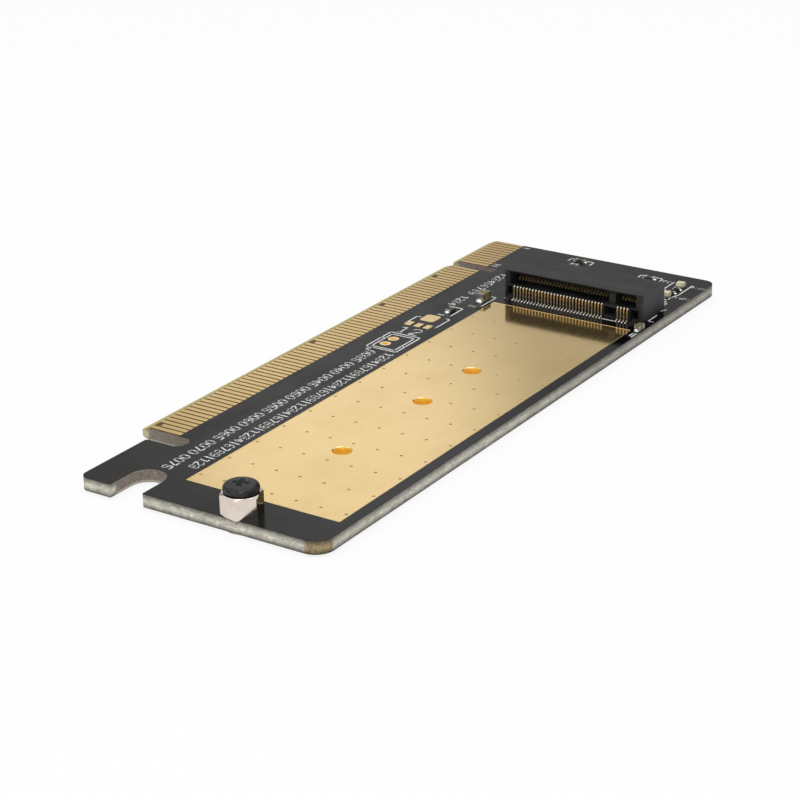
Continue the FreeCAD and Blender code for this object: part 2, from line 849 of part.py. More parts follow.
def make_screw():
    """The drive's retaining screw: a low pan head with a cross recess and a plain shank."""
    body = make_body("retaining_screw")
    head = make_sketch(body, "screw_head_sketch")
    draw_circle(head, 0, 0, s.screw_head_r)
    disc = pad(body, head, s.screw_head_height, "screw_head")
    rim = [
        f"Edge{index}"
        for index, edge in enumerate(disc.Shape.Edges, start=1)
        if edge.BoundBox.ZMin > s.screw_head_height.value / 2
    ]
    chamfer = body.newObject("PartDesign::Chamfer", "screw_head_rim")
    chamfer.Base = (disc, rim)
    bind(chamfer, "Size", s.screw_head_cut)
    doc.recompute()
    shank = make_sketch(body, "screw_shank_sketch")
    draw_circle(shank, 0, 0, s.thread_r - s.thread_play)
    pad(body, shank, s.screw_length, "screw_shank", reverse=True)
    cross = make_sketch(body, "screw_recess_sketch", offset=s.screw_head_height)
    long, short = s.recess_across / 2, s.recess_width / 2
    draw_polygon(cross, (
        (-long, -short), (-short, -short), (-short, -long), (short, -long),
        (short, -short), (long, -short), (long, short), (short, short),
        (short, long), (-short, long), (-short, short), (-long, short),
    ))
    pocket(body, cross, s.recess_depth, "screw_recess")
    x, y = drive_holes()[-1]
    body.Placement.Rotation = FreeCAD.Rotation(Vector(0, 0, 1), s.standoff_turn.value)
    place(body, x, y, mask_top + s.standoff_height)
    return body


def chip_blocks(name, x, y, size, along_y=False):
    """The ceramic body and the pair of metal ends of a chip part."""
    length, width, height = size
    end = length * s.end_share
    side = width / 2
    spans = (
        ("body", -(length / 2 - end), length - end * 2),
        ("end_a", -(length / 2), end),
        ("end_b", length / 2 - end, end),
    )
    blocks = []
    for label, start, span in spans:
        low = (x - side, y + start, mask_top) if along_y else (x + start, y - side, mask_top)
        lengths = (width, span, height) if along_y else (span, width, height)
        blocks.append(make_block(f"{name}_{label}", low, lengths))
    return blocks[0], blocks[1:]


def make_chip(name, x, y, size, along_y=False):
    """A two ended chip part as two nodes, its body and its ends."""
    body, ends = chip_blocks(name, x, y, size, along_y)
    return body, make_group(f"{name}_ends", ends)


def make_series_resistors(flat):
    """The resistor behind the socket and the two tiny ones between the lamps, as two nodes."""
    tiny = (s.tiny_length, s.tiny_width, s.tiny_height)
    tiny_x = s.lamp_inset + s.tiny_offset - s.board_start
    tiny_y = s.board_width - s.tiny_side_inset
    places = (
        (s.series_inset - s.board_start, s.board_width - s.series_side_inset, flat),
        (tiny_x, tiny_y, tiny),
        (tiny_x + s.tiny_pitch, tiny_y, tiny),
    )
    bodies = []
    ends = []
    for index, (x, y, size) in enumerate(places):
        body, pair = chip_blocks(f"series_{index}", x, y, size, along_y=True)
        bodies.append(body)
        ends += pair
    return [make_group("series_resistor_body", bodies), make_group("series_resistor_ends", ends)]


def make_lamp(name, x, y):
    """An indicator lamp: a thin base, a tapered lens and a pair of plated ends."""
    low_x = x - s.lamp_length / 2
    low_y = y - s.lamp_width / 2
    end = s.lamp_length * s.end_share
    base_size = (s.lamp_length - end * 2, s.lamp_width, s.lamp_base)
    base = make_block(f"{name}_base", (low_x + end, low_y, mask_top), base_size)
    end_size = (end, s.lamp_width, s.lamp_base)
    near = make_block(f"{name}_end_a", (low_x, low_y, mask_top), end_size)
    far = make_block(f"{name}_end_b", (low_x + s.lamp_length - end, low_y, mask_top), end_size)
    ends = make_group(f"{name}_ends", [near, far])

    lens = make_body(f"{name}_lens")
    side_view = make_sketch(lens, f"{name}_lens_sketch", "XZ_Plane", -y)
    half = s.lamp_lens / 2
    floor = mask_top + s.lamp_base
    roof = mask_top + s.lamp_height
    draw_polygon(side_view, (
        (x - half, floor),
        (x + half, floor),
        (x + half - s.lamp_taper, roof),
        (x - half + s.lamp_taper, roof),
    ))
    pad(lens, side_view, s.lamp_width, f"{name}_lens_pad", middle=True)
    return [base, ends, lens]


def make_small_parts():
    """The soldered capacitors, resistors and lamps."""
    small = (s.small_length, s.small_width, s.small_height)
    flat = (s.small_length, s.small_width, s.chip_height)
    big = (s.filter_length, s.filter_width, s.filter_height)
    nodes = []
    nodes += make_chip("filter_capacitor", s.filter_x, s.filter_y, big)
    nodes += make_chip("side_capacitor", s.side_x, s.board_width - s.side_inset, small)
    nodes += make_chip("pull_resistor", s.pull_x, s.pull_y, flat)
    back_x = s.back_inset - s.board_start
    nodes += make_chip("back_resistor", back_x, s.back_y, flat, along_y=True)
    nodes += make_series_resistors(flat)
    lamp_x, lamp_y = s.lamp_inset - s.board_start, s.board_width - s.lamp_side_inset
    nodes += make_lamp("power_lamp", lamp_x, lamp_y)
    nodes += make_lamp("busy_lamp", lamp_x + s.lamp_pitch, lamp_y)
    return nodes


def check_document(nodes):
    """Stops when any object failed, or a node is empty or not a valid solid."""
    for thing in doc.Objects:
        if "Invalid" in thing.State or "Error" in thing.State:
            raise RuntimeError(f"{thing.Name} failed: {thing.State}")
    for node in nodes:
        shape = node.Shape
        if shape.isNull() or not shape.isValid() or not shape.Solids:
            raise RuntimeError(f"{node.Label} is not a valid solid")


def write_nodes(nodes):
    """Writes one file for each node, named after its label."""
    os.makedirs("parts", exist_ok=True)
    for node in nodes:
        node.Shape.exportStep(f"parts/{node.Label}.step")
        print(f"{node.Label}: {len(node.Shape.Solids)} solids, {node.Shape.Volume:.3f} mm3")


all_nodes = [
    make_laminate(),
    make_mask("solder_mask_top", 1),
    make_mask("solder_mask_bottom", -1),
    make_fingers("edge_fingers_front", 1, FRONT_SHORT_FINGERS),
    make_fingers("edge_fingers_back", -1, BACK_SHORT_FINGERS),
    make_gold_field(),
    make_barrels(),
    make_header_rings(),
    make_regulator_pads(),
    make_housing(),
    make_contacts("socket_contacts_lower", lower_groups(), lower_contact_profile()),
    make_contacts("socket_contacts_upper", upper_groups(), upper_contact_profile()),
    make_nails(),
    make_standoff(),
    make_screw(),
]
all_nodes += make_small_parts()

doc.recompute()
check_document(all_nodes)
write_nodes(all_nodes)
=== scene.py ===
import math

import bmesh
import bpy
from mathutils import Matrix, Vector


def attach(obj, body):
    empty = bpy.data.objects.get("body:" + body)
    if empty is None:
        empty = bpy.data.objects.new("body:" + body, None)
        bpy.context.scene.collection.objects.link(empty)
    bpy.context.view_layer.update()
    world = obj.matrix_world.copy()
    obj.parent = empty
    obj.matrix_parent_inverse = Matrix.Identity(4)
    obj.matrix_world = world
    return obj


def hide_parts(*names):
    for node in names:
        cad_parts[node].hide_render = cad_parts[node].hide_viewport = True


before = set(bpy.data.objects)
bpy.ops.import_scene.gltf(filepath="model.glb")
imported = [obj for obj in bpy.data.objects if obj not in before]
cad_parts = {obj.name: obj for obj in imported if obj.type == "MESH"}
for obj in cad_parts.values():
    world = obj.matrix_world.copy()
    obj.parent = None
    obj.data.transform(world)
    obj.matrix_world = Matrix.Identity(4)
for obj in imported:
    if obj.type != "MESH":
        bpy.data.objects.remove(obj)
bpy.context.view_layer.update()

# The finished look of a bare card that carries one flat drive in a long card slot.
# Lengths are in millimetres, in the same frame as the solids: the origin is on the finger edge at
# the key notch, +X runs to the hook end and +Z comes out of the socket's face. Only the floor and
# the lamps are given in metres.

MM = 0.001

# heights of the card's faces, and of its lowest point, the standoff's foot
LACQUER_TOP = 0.86
GOLD_TOP = 0.85
LACQUER_BOTTOM = -0.86
LOWEST = -1.16

# the drive's middle line, its plugged edge and the lengths that have a screw place
DRIVE_AXIS = 25.65
DRIVE_EDGE = 5.37
DRIVE_LENGTHS = (30.0, 42.0, 60.0, 80.0)

# the standoff, in degrees from a flat facing +Y, and half its width across flats
STANDOFF_TURN = 19.0
STANDOFF_HEIGHT = 2.65
STANDOFF_HALF = 2.25

# radii of the plated walls of the screw holes and header holes, and of the header's gold rings
HOLE_INNER = 1.2
HOLE_OUTER = 1.93
HEADER_INNER = 0.34
HEADER_OUTER = 0.42
HEADER_RING = 0.8
HEADER_HOLES = ((30.93, 10.45), (32.93, 10.45))

# the socket's contacts: half of the row's places lie on each side of the drive's middle line
CONTACT_PITCH = 0.5
HALF_ROW = 18.5
CONTACTS_TO_KEY = 29
KEY_PLACES = 4

# the pairs of covered tracks, side by side on the underside
LANES = 14
LANE_START = 13.6
LANE_STEP = 1.45

INK_BAR = {"Width": 0.21, "Height": 0.016}


def linear(red, green, blue):
    """A colour read off the photo's 0 to 255 scale, as the shader wants it."""
    return tuple(((c / 255 + 0.055) / 1.055) ** 2.4 if c > 10 else c / 3295 for c in (red, green, blue))


class Finish:
    """One procedural material, built up node by node on millimetre object coordinates."""

    def __init__(self, name, colour, metal=0.0, rough=0.5, gloss=0.5):
        self.material = bpy.data.materials.new(name)
        self.material.use_nodes = True
        self.tree = self.material.node_tree
        self.shader = self.tree.nodes["Principled BSDF"]
        self.shader.inputs["Base Color"].default_value = (*colour, 1.0)
        self.shader.inputs["Metallic"].default_value = metal
        self.shader.inputs["Roughness"].default_value = rough
        self.shader.inputs["Specular IOR Level"].default_value = gloss
        self.place = self.stretched((1.0, 1.0, 1.0))

    def node(self, kind, **settings):
        made = self.tree.nodes.new(kind)
        for key, value in settings.items():
            setattr(made, key, value)
        return made

    def feed(self, socket, value):
        """Puts a number, a colour or another node's output on a socket."""
        if isinstance(value, bpy.types.NodeSocket):
            self.tree.links.new(value, socket)
        elif isinstance(value, tuple) and len(value) == 3 and socket.type == "RGBA":
            socket.default_value = (*value, 1.0)
        else:
            socket.default_value = value

    def stretched(self, scale):
        """Object coordinates in millimetres, stretched along the axes."""
        mapping = self.node("ShaderNodeMapping")
        mapping.inputs["Scale"].default_value = tuple(s / MM for s in scale)
        self.feed(mapping.inputs["Vector"], self.node("ShaderNodeTexCoord").outputs["Object"])
        return mapping.outputs["Vector"]

    def noise(self, scale, detail=2.0, stretch=None, rough=0.5):
        made = self.node("ShaderNodeTexNoise")
        self.feed(made.inputs["Vector"], self.stretched(stretch) if stretch else self.place)
        made.inputs["Scale"].default_value = scale
        made.inputs["Detail"].default_value = detail
        made.inputs["Roughness"].default_value = rough
        return made.outputs["Fac"]

    def ramp(self, value, stops):
        """A number that follows the given stops, each a place from 0 to 1 and its level."""
        made = self.node("ShaderNodeFloatCurve")
        curve = made.mapping.curves[0]
        for place, level in stops[1:-1]:
            curve.points.new(place, level)
        curve.points[0].location = stops[0]
        curve.points[-1].location = stops[-1]
        made.mapping.update()
        self.feed(made.inputs["Value"], value)
        return made.outputs["Value"]

    def ranged(self, value, low, high, first=0.0, last=1.0, stepped="SMOOTHSTEP"):
        """Value carried from low..high to first..last, smoothly or in a straight line."""
        made = self.node("ShaderNodeMapRange", interpolation_type=stepped)
        for name, number in (("Value", value), ("From Min", low), ("From Max", high),
                             ("To Min", first), ("To Max", last)):
            self.feed(made.inputs[name], number)
        return made.outputs["Result"]

    def math(self, operation, first, second=0.0):
        made = self.node("ShaderNodeMath", operation=operation)
        self.feed(made.inputs[0], first)
        self.feed(made.inputs[1], second)
        return made.outputs["Value"]

    def mixed(self, share, first, second):
        """One colour passing into another."""
        made = self.node("ShaderNodeMix", data_type="RGBA")
        self.feed(made.inputs["Factor"], share)
        self.feed(made.inputs[6], first)
        self.feed(made.inputs[7], second)
        return made.outputs[2]

    def axes(self):
        """The three millimetre coordinates, one by one."""
        made = self.node("ShaderNodeSeparateXYZ")
        self.feed(made.inputs["Vector"], self.place)
        return made.outputs["X"], made.outputs["Y"], made.outputs["Z"]

    def facing_up(self):
        """How far a face looks up or down rather than sideways, from 0 to 1."""
        made = self.node("ShaderNodeSeparateXYZ")
        self.feed(made.inputs["Vector"], self.node("ShaderNodeNewGeometry").outputs["Normal"])
        return self.math("ABSOLUTE", made.outputs["Z"])

    def between(self, value, low, high, soft=0.1):
        """1 inside low..high and 0 outside, with soft limits."""
        rise = self.ranged(value, low - soft, low + soft)
        fall = self.ranged(value, high - soft, high + soft, 1.0, 0.0)
        return self.math("MULTIPLY", rise, fall)

    def colour(self, value):
        self.feed(self.shader.inputs["Base Color"], value)

    def roughness(self, value):
        self.feed(self.shader.inputs["Roughness"], value)

    def relief(self, height, depth, strength=1.0):
        """A bump, whose depth is in millimetres."""
        bump = self.node("ShaderNodeBump")
        bump.inputs["Strength"].default_value = strength
        bump.inputs["Distance"].default_value = depth * MM
        self.feed(bump.inputs["Height"], height)
        self.feed(self.shader.inputs["Normal"], bump.outputs["Normal"])


def dark_lacquer():
    """The glossy black lacquer: cloudy and a little rubbed, glossier to the plain long edge, with painted
    shade that darkens its colour to near black there.
    """
    finish = Finish("dark_lacquer", linear(25, 25, 24), rough=0.24, gloss=0.16)
    across = finish.axes()[1]
    cloud = finish.noise(0.16, 3.0)
    grey = finish.mixed(finish.ranged(cloud, 0.35, 0.65), linear(20, 21, 20), linear(30, 27, 26))
    # painted shade: the colour passes to near black towards the plain long edge, across Y 27 to 36.8
    finish.colour(finish.mixed(finish.ranged(across, 27.0, 36.8), grey, linear(8, 8, 8)))
    rub = finish.noise(0.5, 4.0, stretch=(0.25, 1.0, 1.0))
    polish = finish.ranged(across, 27.0, 36.8, 1.0, 0.4)
    finish.roughness(finish.math("MULTIPLY", finish.ranged(rub, 0.3, 0.75, 0.22, 0.34), polish))
    ripple = finish.math("ADD", finish.noise(2.4, 2.0), finish.math("MULTIPLY", finish.noise(14.0), 0.25))
    finish.relief(ripple, 0.003, 0.4)
    return finish.material


def bare_laminate():
    """Glass fibre board: olive between the fingers, pale and fibrous on its cut edges, with painted shade on
    the cut edges towards their top and bottom and towards the low X end.
    """
    finish = Finish("bare_laminate", linear(190, 184, 163), rough=0.6, gloss=0.35)
    along, across, up = finish.axes()
    cloth = finish.noise(1.0, 3.0, stretch=(1.1, 1.1, 3.4), rough=0.6)
    speck = finish.noise(5.5, 3.0)
    smear = finish.noise(0.45, 2.0)
    pale = finish.mixed(finish.ranged(cloth, 0.3, 0.7), linear(176, 171, 157), linear(218, 213, 201))
    pale = finish.mixed(finish.ranged(smear, 0.4, 0.7, 0.0, 0.5), pale, linear(160, 156, 142))
    pale = finish.mixed(finish.ranged(speck, 0.58, 0.72, 0.0, 0.5), pale, linear(122, 114, 98))
    fleck = finish.ranged(finish.noise(1.0, 3.0, stretch=(2.2, 2.2, 4.2)), 0.54, 0.68, 0.0, 0.5)
    pale = finish.mixed(fleck, pale, linear(240, 236, 226))
    # painted shade: the cut edges darken towards their top and bottom faces and are brightest near the middle,
    # with a ragged limit
    ragged = finish.math("ADD", up, finish.math("MULTIPLY", finish.noise(2.2, 4.0), 0.36))
    height = finish.ranged(ragged, -0.68, 1.04, stepped="LINEAR")
    edge_shade = finish.ramp(height, (
        (0.0, 0.2), (0.1, 0.33), (0.27, 0.74), (0.46, 1.0), (0.69, 0.71), (0.85, 0.41), (1.0, 0.2)))
    # painted shade, deeper along the cut edges below X 56 and most below X 22
    far_shade = finish.ranged(along, 22.0, 56.0, 0.68, 1.0)
    edge_shade = finish.math("MULTIPLY", edge_shade, far_shade)

    routed = finish.mixed(finish.ranged(speck, 0.35, 0.65), linear(104, 95, 88), linear(150, 139, 127))
    pale_foot = finish.ranged(up, -0.7, -0.5, 0.8, 0.0)
    routed = finish.mixed(pale_foot, routed, linear(196, 190, 176))
    key = finish.math("MULTIPLY", finish.between(along, -1.3, 1.3), finish.between(across, 1.4, 8.6, 0.3))
    slot = finish.math("MULTIPLY", finish.between(along, 71.6, 75.4), finish.between(across, 1.2, 8.9, 0.3))
    latch = finish.math("MULTIPLY", finish.between(along, 80.9, 86.4, 0.4), finish.between(across, 7.6, 13.0))
    notch = finish.math("MAXIMUM", finish.math("MAXIMUM", key, slot), latch)

    olive = finish.mixed(finish.ranged(speck, 0.35, 0.65), linear(126, 110, 76), linear(170, 152, 112))
    corner = finish.math("MULTIPLY", finish.ranged(along, 85.0, 85.6), finish.ranged(across, 35.5, 36.1))
    cut_edge = finish.mixed(corner, pale, olive)
    nose = finish.math("MULTIPLY", finish.ranged(along, 86.6, 87.2), finish.ranged(across, 4.4, 3.6, 0.0, 0.6))
    cut_edge = finish.mixed(nose, cut_edge, linear(184, 168, 110))
    cut_edge = finish.mixed(edge_shade, (0.0, 0.0, 0.0), cut_edge)
    cut_edge = finish.mixed(notch, cut_edge, routed)
    tip = finish.math("MULTIPLY", finish.ranged(across, 0.2, 1.5, 1.0, 0.0), 0.8)
    cut_edge = finish.mixed(tip, cut_edge, linear(190, 174, 106))

    weave = finish.noise(3.2, 2.0, stretch=(1.0, 0.3, 1.0))
    resin = finish.mixed(finish.ranged(weave, 0.3, 0.7), linear(70, 54, 28), linear(96, 76, 42))
    bevel = finish.ranged(across, 0.8, 1.5, 0.9, 0.0)
    resin = finish.mixed(bevel, resin, linear(182, 168, 104))
    flat = finish.ranged(finish.facing_up(), 0.8, 0.97)
    finish.colour(finish.mixed(flat, cut_edge, resin))
    finish.relief(finish.math("ADD", cloth, finish.math("MULTIPLY", speck, 0.6)), 0.02, 0.6)
    return finish.material


def bare_gold(name, colour, rough, scratch, metal=0.95):
    """Gold plate: smooth, with a faint stain and fine hairline rubs that only dull it a little."""
    finish = Finish(name, colour, metal=metal, rough=rough)
    stain = finish.noise(0.12, 3.0)
    darker = tuple(c * f for c, f in zip(colour, (0.95, 0.93, 0.88)))
    finish.colour(finish.mixed(finish.ranged(stain, 0.4, 0.75), colour, darker))
    lines = finish.noise(1.0, 3.0, stretch=scratch)
    finish.roughness(finish.ranged(lines, 0.3, 0.8, rough * 0.9, rough * 1.35))
    finish.relief(finish.noise(1.1, 2.0), 0.001, 0.2)
    return finish.material


def moulded_black():
    """Glass filled moulding: matt, finely grained, a little greyer where it was rubbed."""
    finish = Finish("moulded_black", linear(38, 38, 40), rough=0.5, gloss=0.32)
    flow = finish.noise(0.55, 4.0, stretch=(1.0, 0.35, 1.0))
    finish.colour(finish.mixed(finish.ranged(flow, 0.35, 0.7), linear(32, 32, 34), linear(45, 45, 48)))
    grain = finish.noise(16.0, 3.0)
    finish.roughness(finish.ranged(grain, 0.3, 0.7, 0.44, 0.6))
    finish.relief(grain, 0.006, 0.5)
    return finish.material


def stamped_contact(name, light, dark, metal):
    """Flashed spring metal: warm on its legs and tinned at the foot, with a painted highlight at the crest and
    a painted glint band lower on the legs.
    """
    finish = Finish(name, light, metal=metal, rough=0.3)
    along, across, up = finish.axes()
    wear = finish.noise(6.0, 2.0)
    gold = finish.mixed(finish.ranged(wear, 0.35, 0.7), light, dark)
    foot = finish.ranged(up, 0.96, 1.2, 1.0, 0.0)
    # painted highlight at the crest of the contacts' bend
    crest = finish.math("MULTIPLY", finish.ranged(up, 2.7, 2.82), finish.ranged(along, 8.7, 8.85, 0.0, 0.7))
    # painted glint: a lighter band low on the legs
    glint = finish.math("MULTIPLY", finish.between(up, 1.4, 1.75, 0.12), 0.6)
    bright = finish.math("MAXIMUM", finish.math("MAXIMUM", foot, crest), glint)
    finish.colour(finish.mixed(bright, gold, linear(232, 228, 218)))
    finish.relief(finish.noise(9.0, 2.0), 0.003, 0.4)
    return finish.material


def tinned_metal(name, light, dark, rough):
    """Reflowed solder and tinned ends: slightly wavy, with duller spots."""
    finish = Finish(name, light, metal=1.0, rough=rough)
    spots = finish.noise(3.5, 3.0)
    finish.colour(finish.mixed(finish.ranged(spots, 0.35, 0.7), light, dark))
    finish.roughness(finish.ranged(spots, 0.3, 0.75, rough * 0.7, rough * 1.5))
    finish.relief(finish.noise(4.5, 2.0), 0.02, 0.5)
    return finish.material


def bright_nickel():
    """Plated turned metal with faint tool lines round it and a warm tint."""
    finish = Finish("bright_nickel", linear(222, 210, 198), metal=1.0, rough=0.13)
    tool = finish.noise(1.0, 2.0, stretch=(0.4, 0.4, 10.0))
    finish.roughness(finish.ranged(tool, 0.3, 0.75, 0.11, 0.18))
    tint = finish.noise(0.5, 2.0)
    finish.colour(finish.mixed(finish.ranged(tint, 0.35, 0.7), linear(225, 213, 202), linear(214, 201, 188)))
    finish.relief(tool, 0.001, 0.25)
    return finish.material


def black_steel():
    """Blackened screw steel, oily black with a few scuffs where a driver has touched it."""
    finish = Finish("black_steel", linear(30, 30, 31), metal=0.3, rough=0.34, gloss=0.5)
    scuff = finish.noise(2.2, 4.0)
    finish.colour(finish.mixed(finish.ranged(scuff, 0.6, 0.74), linear(26, 26, 27), linear(66, 65, 64)))
    finish.roughness(finish.ranged(scuff, 0.3, 0.7, 0.2, 0.38))
    finish.relief(finish.noise(7.0, 3.0), 0.008, 0.5)
    return finish.material


def fired_ceramic(name, light, dark):
    """Fired ceramic: dull, fine grained and slightly uneven in colour."""
    finish = Finish(name, light, rough=0.5, gloss=0.4)
    cloud = finish.noise(2.6, 3.0)
    finish.colour(finish.mixed(finish.ranged(cloud, 0.35, 0.7), light, dark))
    finish.roughness(finish.ranged(cloud, 0.3, 0.7, 0.4, 0.6))
    finish.relief(finish.noise(12.0, 3.0), 0.01, 0.5)
    return finish.material


def lamp_plastic(name, light, dark, rough):
    """Cast lamp resin, faintly cloudy."""
    finish = Finish(name, light, rough=rough, gloss=0.5)
    cloud = finish.noise(2.2, 2.0)
    finish.colour(finish.mixed(finish.ranged(cloud, 0.35, 0.7), light, dark))
    finish.relief(finish.noise(6.0, 2.0), 0.006, 0.4)
    return finish.material


def white_ink():
    """Printed marking ink: off white, slightly thin in places."""
    finish = Finish("white_ink", linear(232, 232, 230), rough=0.55, gloss=0.4)
    thin = finish.noise(5.0, 3.0)
    finish.colour(finish.mixed(finish.ranged(thin, 0.4, 0.7), linear(236, 236, 234), linear(186, 187, 188)))
    finish.relief(thin, 0.006, 0.5)
    return finish.material


FINISHES = {
    "lacquer": dark_lacquer(),
    "laminate": bare_laminate(),
    "field": bare_gold("field_gold", linear(243, 212, 150), 0.1, (0.3, 3.0, 1.0)),
    "hole_wall": bare_gold("hole_gold", linear(244, 192, 66), 0.42, (1.0, 1.0, 1.0), 0.45),
    "finger": bare_gold("finger_gold", linear(236, 202, 138), 0.18, (4.0, 0.25, 1.0)),
    "moulding": moulded_black(),
    "contact": stamped_contact("stamped_contact", linear(196, 178, 144), linear(138, 118, 88), 1.0),
    # a darker, less metallic copy of the contact metal for the upper row: painted shade of the socket's mouth
    "shaded_upper_contact": stamped_contact("shaded_upper_contact", linear(166, 142, 98), linear(112, 90, 54), 0.4),
    "tin": tinned_metal("tinned_ends", linear(186, 184, 176), linear(150, 147, 138), 0.42),
    "solder": tinned_metal("bright_solder", linear(240, 240, 236), linear(214, 213, 208), 0.22),
    # a dark copy of the tinned metal for the socket's solder nails: painted shade
    "shaded_tin": tinned_metal("shaded_tin", linear(104, 102, 96), linear(74, 72, 68), 0.5),
    "nickel": bright_nickel(),
    "screw": black_steel(),
    # near black for the faces of the screw's cross recess: painted shade in the recess
    "recess": fired_ceramic("screw_recess", linear(9, 9, 9), linear(5, 5, 5)),
    "brown": fired_ceramic("brown_ceramic", linear(126, 114, 76), linear(94, 82, 50)),
    "dark": fired_ceramic("dark_ceramic", linear(74, 68, 60), linear(50, 47, 43)),
    # a lighter gold for the field's edge bar: painted highlight
    "rim": bare_gold("rim_highlight_gold", linear(250, 228, 170), 0.3, (1.0, 1.0, 1.0)),
    # a darker finish for the flat middle discs of the field's drillings: painted shade of the holes
    "via_hole_shade": fired_ceramic("via_hole_shade", linear(150, 122, 72), linear(120, 95, 52)),
    "lamp_base": lamp_plastic("lamp_base", linear(206, 200, 168), linear(182, 174, 140), 0.5),
    "lamp_lens": lamp_plastic("lamp_lens", linear(216, 212, 180), linear(196, 190, 152), 0.3),
    "ink": white_ink(),
}

NODE_FINISHES = {
    "board_laminate": "laminate",
    "solder_mask_top": "lacquer",
    "solder_mask_bottom": "lacquer",
    "edge_fingers_front": "finger",
    "edge_fingers_back": "finger",
    "ground_field": "field",
    "screw_hole_barrels": "field",
    "header_rings": "field",
    "regulator_pads": "field",
    "socket_housing": "moulding",
    "socket_contacts_lower": "contact",
    "socket_contacts_upper": "shaded_upper_contact",
    "socket_solder_nails": "shaded_tin",
    "standoff": "nickel",
    "retaining_screw": "screw",
    "filter_capacitor_body": "brown",
    "side_capacitor_body": "brown",
    "pull_resistor_body": "dark",
    "back_resistor_body": "dark",
    "series_resistor_body": "dark",
    "filter_capacitor_ends": "tin",
    "side_capacitor_ends": "tin",
    "pull_resistor_ends": "tin",
    "back_resistor_ends": "tin",
    "series_resistor_ends": "solder",
    "power_lamp_ends": "tin",
    "busy_lamp_ends": "tin",
    "power_lamp_base": "lamp_base",
    "busy_lamp_base": "lamp_base",
    "power_lamp_lens": "lamp_lens",
    "busy_lamp_lens": "lamp_lens",
}


def dress_solids():
    """Gives every solid of the frame its finish."""
    for name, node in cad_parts.items():
        node.data.materials.clear()
        node.data.materials.append(FINISHES[NODE_FINISHES[name]])


def new_piece(name, mesh):
    """A finished mesh as a piece of the card, riding on its one body."""
    piece = bpy.data.objects.new(name, mesh)
    bpy.context.scene.collection.objects.link(piece)
    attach(piece, "root")
    return piece


def added(tree, kind, feeds=(), **settings):
    """A new node in a tree, with its settings, and numbers or other nodes' outputs on its sockets."""
    made = tree.nodes.new(kind)
    for key, value in settings.items():
        setattr(made, key, value)
    for socket, value in dict(feeds).items():
        if isinstance(value, bpy.types.NodeSocket):
            tree.links.new(value, made.inputs[socket])
        else:
            made.inputs[socket].default_value = value
    return made


class Tree:
    """A geometry tree with named inputs, ended by Realize Instances and Set Material."""

    def __init__(self, name, inputs):
        self.group = bpy.data.node_groups.new(name, "GeometryNodeTree")
        self.group.is_modifier = True
        face = self.group.interface
        face.new_socket("Geometry", in_out="INPUT", socket_type="NodeSocketGeometry")
        for label, kind in inputs:
            face.new_socket(label, in_out="INPUT", socket_type=kind)
        face.new_socket("Geometry", in_out="OUTPUT", socket_type="NodeSocketGeometry")
        self.given = self.group.nodes.new("NodeGroupInput").outputs

    def node(self, kind, feeds=(), **settings):
        return added(self.group, kind, feeds, **settings)

    def maths(self, operation, first, second):
        made = self.node("ShaderNodeMath", {0: first, 1: second}, operation=operation)
        return made.outputs["Value"]

    def vector(self, x=0.0, y=0.0, z=0.0):
        return self.node("ShaderNodeCombineXYZ", {"X": x, "Y": y, "Z": z}).outputs["Vector"]

    def on_points(self, points, shape, scale=None):
        feeds = {"Points": points, "Instance": shape}
        if scale is not None:
            feeds["Scale"] = scale
        return self.node("GeometryNodeInstanceOnPoints", feeds).outputs["Instances"]

    def end(self, *parts):
        """Joins parts, each an instanced geometry with its own finish socket."""
        join = self.node("GeometryNodeJoinGeometry")
        for geometry, finish in reversed(parts):
            real = self.node("GeometryNodeRealizeInstances", {"Geometry": geometry})
            coat = self.node("GeometryNodeSetMaterial", {
                "Geometry": real.outputs["Geometry"], "Material": finish})
            self.group.links.new(coat.outputs["Geometry"], join.inputs["Geometry"])
        out = self.group.nodes.new("NodeGroupOutput")
        self.group.links.new(join.outputs["Geometry"], out.inputs["Geometry"])
        return self


LENGTH = "NodeSocketFloat"
FINISH = "NodeSocketMaterial"


def stroke_tree():
    """Loose line segments become flat bars with round ends."""
    tree = Tree("flat_strokes", (("Width", LENGTH), ("Height", LENGTH), ("Finish", FINISH)))
    lines, width, height = tree.given["Geometry"], tree.given["Width"], tree.given["Height"]
    curves = tree.node("GeometryNodeMeshToCurve", {"Mesh": lines}).outputs["Curve"]
    section = tree.node("GeometryNodeCurvePrimitiveQuadrilateral", {"Width": width, "Height": height})
    bars = tree.node("GeometryNodeCurveToMesh", {
        "Curve": curves, "Profile Curve": section.outputs["Curve"], "Fill Caps": True})
    dot = tree.node("GeometryNodeMeshCylinder", {
        "Vertices": 8, "Radius": tree.maths("MULTIPLY", width, 0.5), "Depth": height})
    points = tree.node("GeometryNodeMeshToPoints", {"Mesh": lines}).outputs["Points"]
    ends = tree.on_points(points, dot.outputs["Mesh"])
    return tree.end((bars.outputs["Mesh"], tree.given["Finish"]), (ends, tree.given["Finish"]))


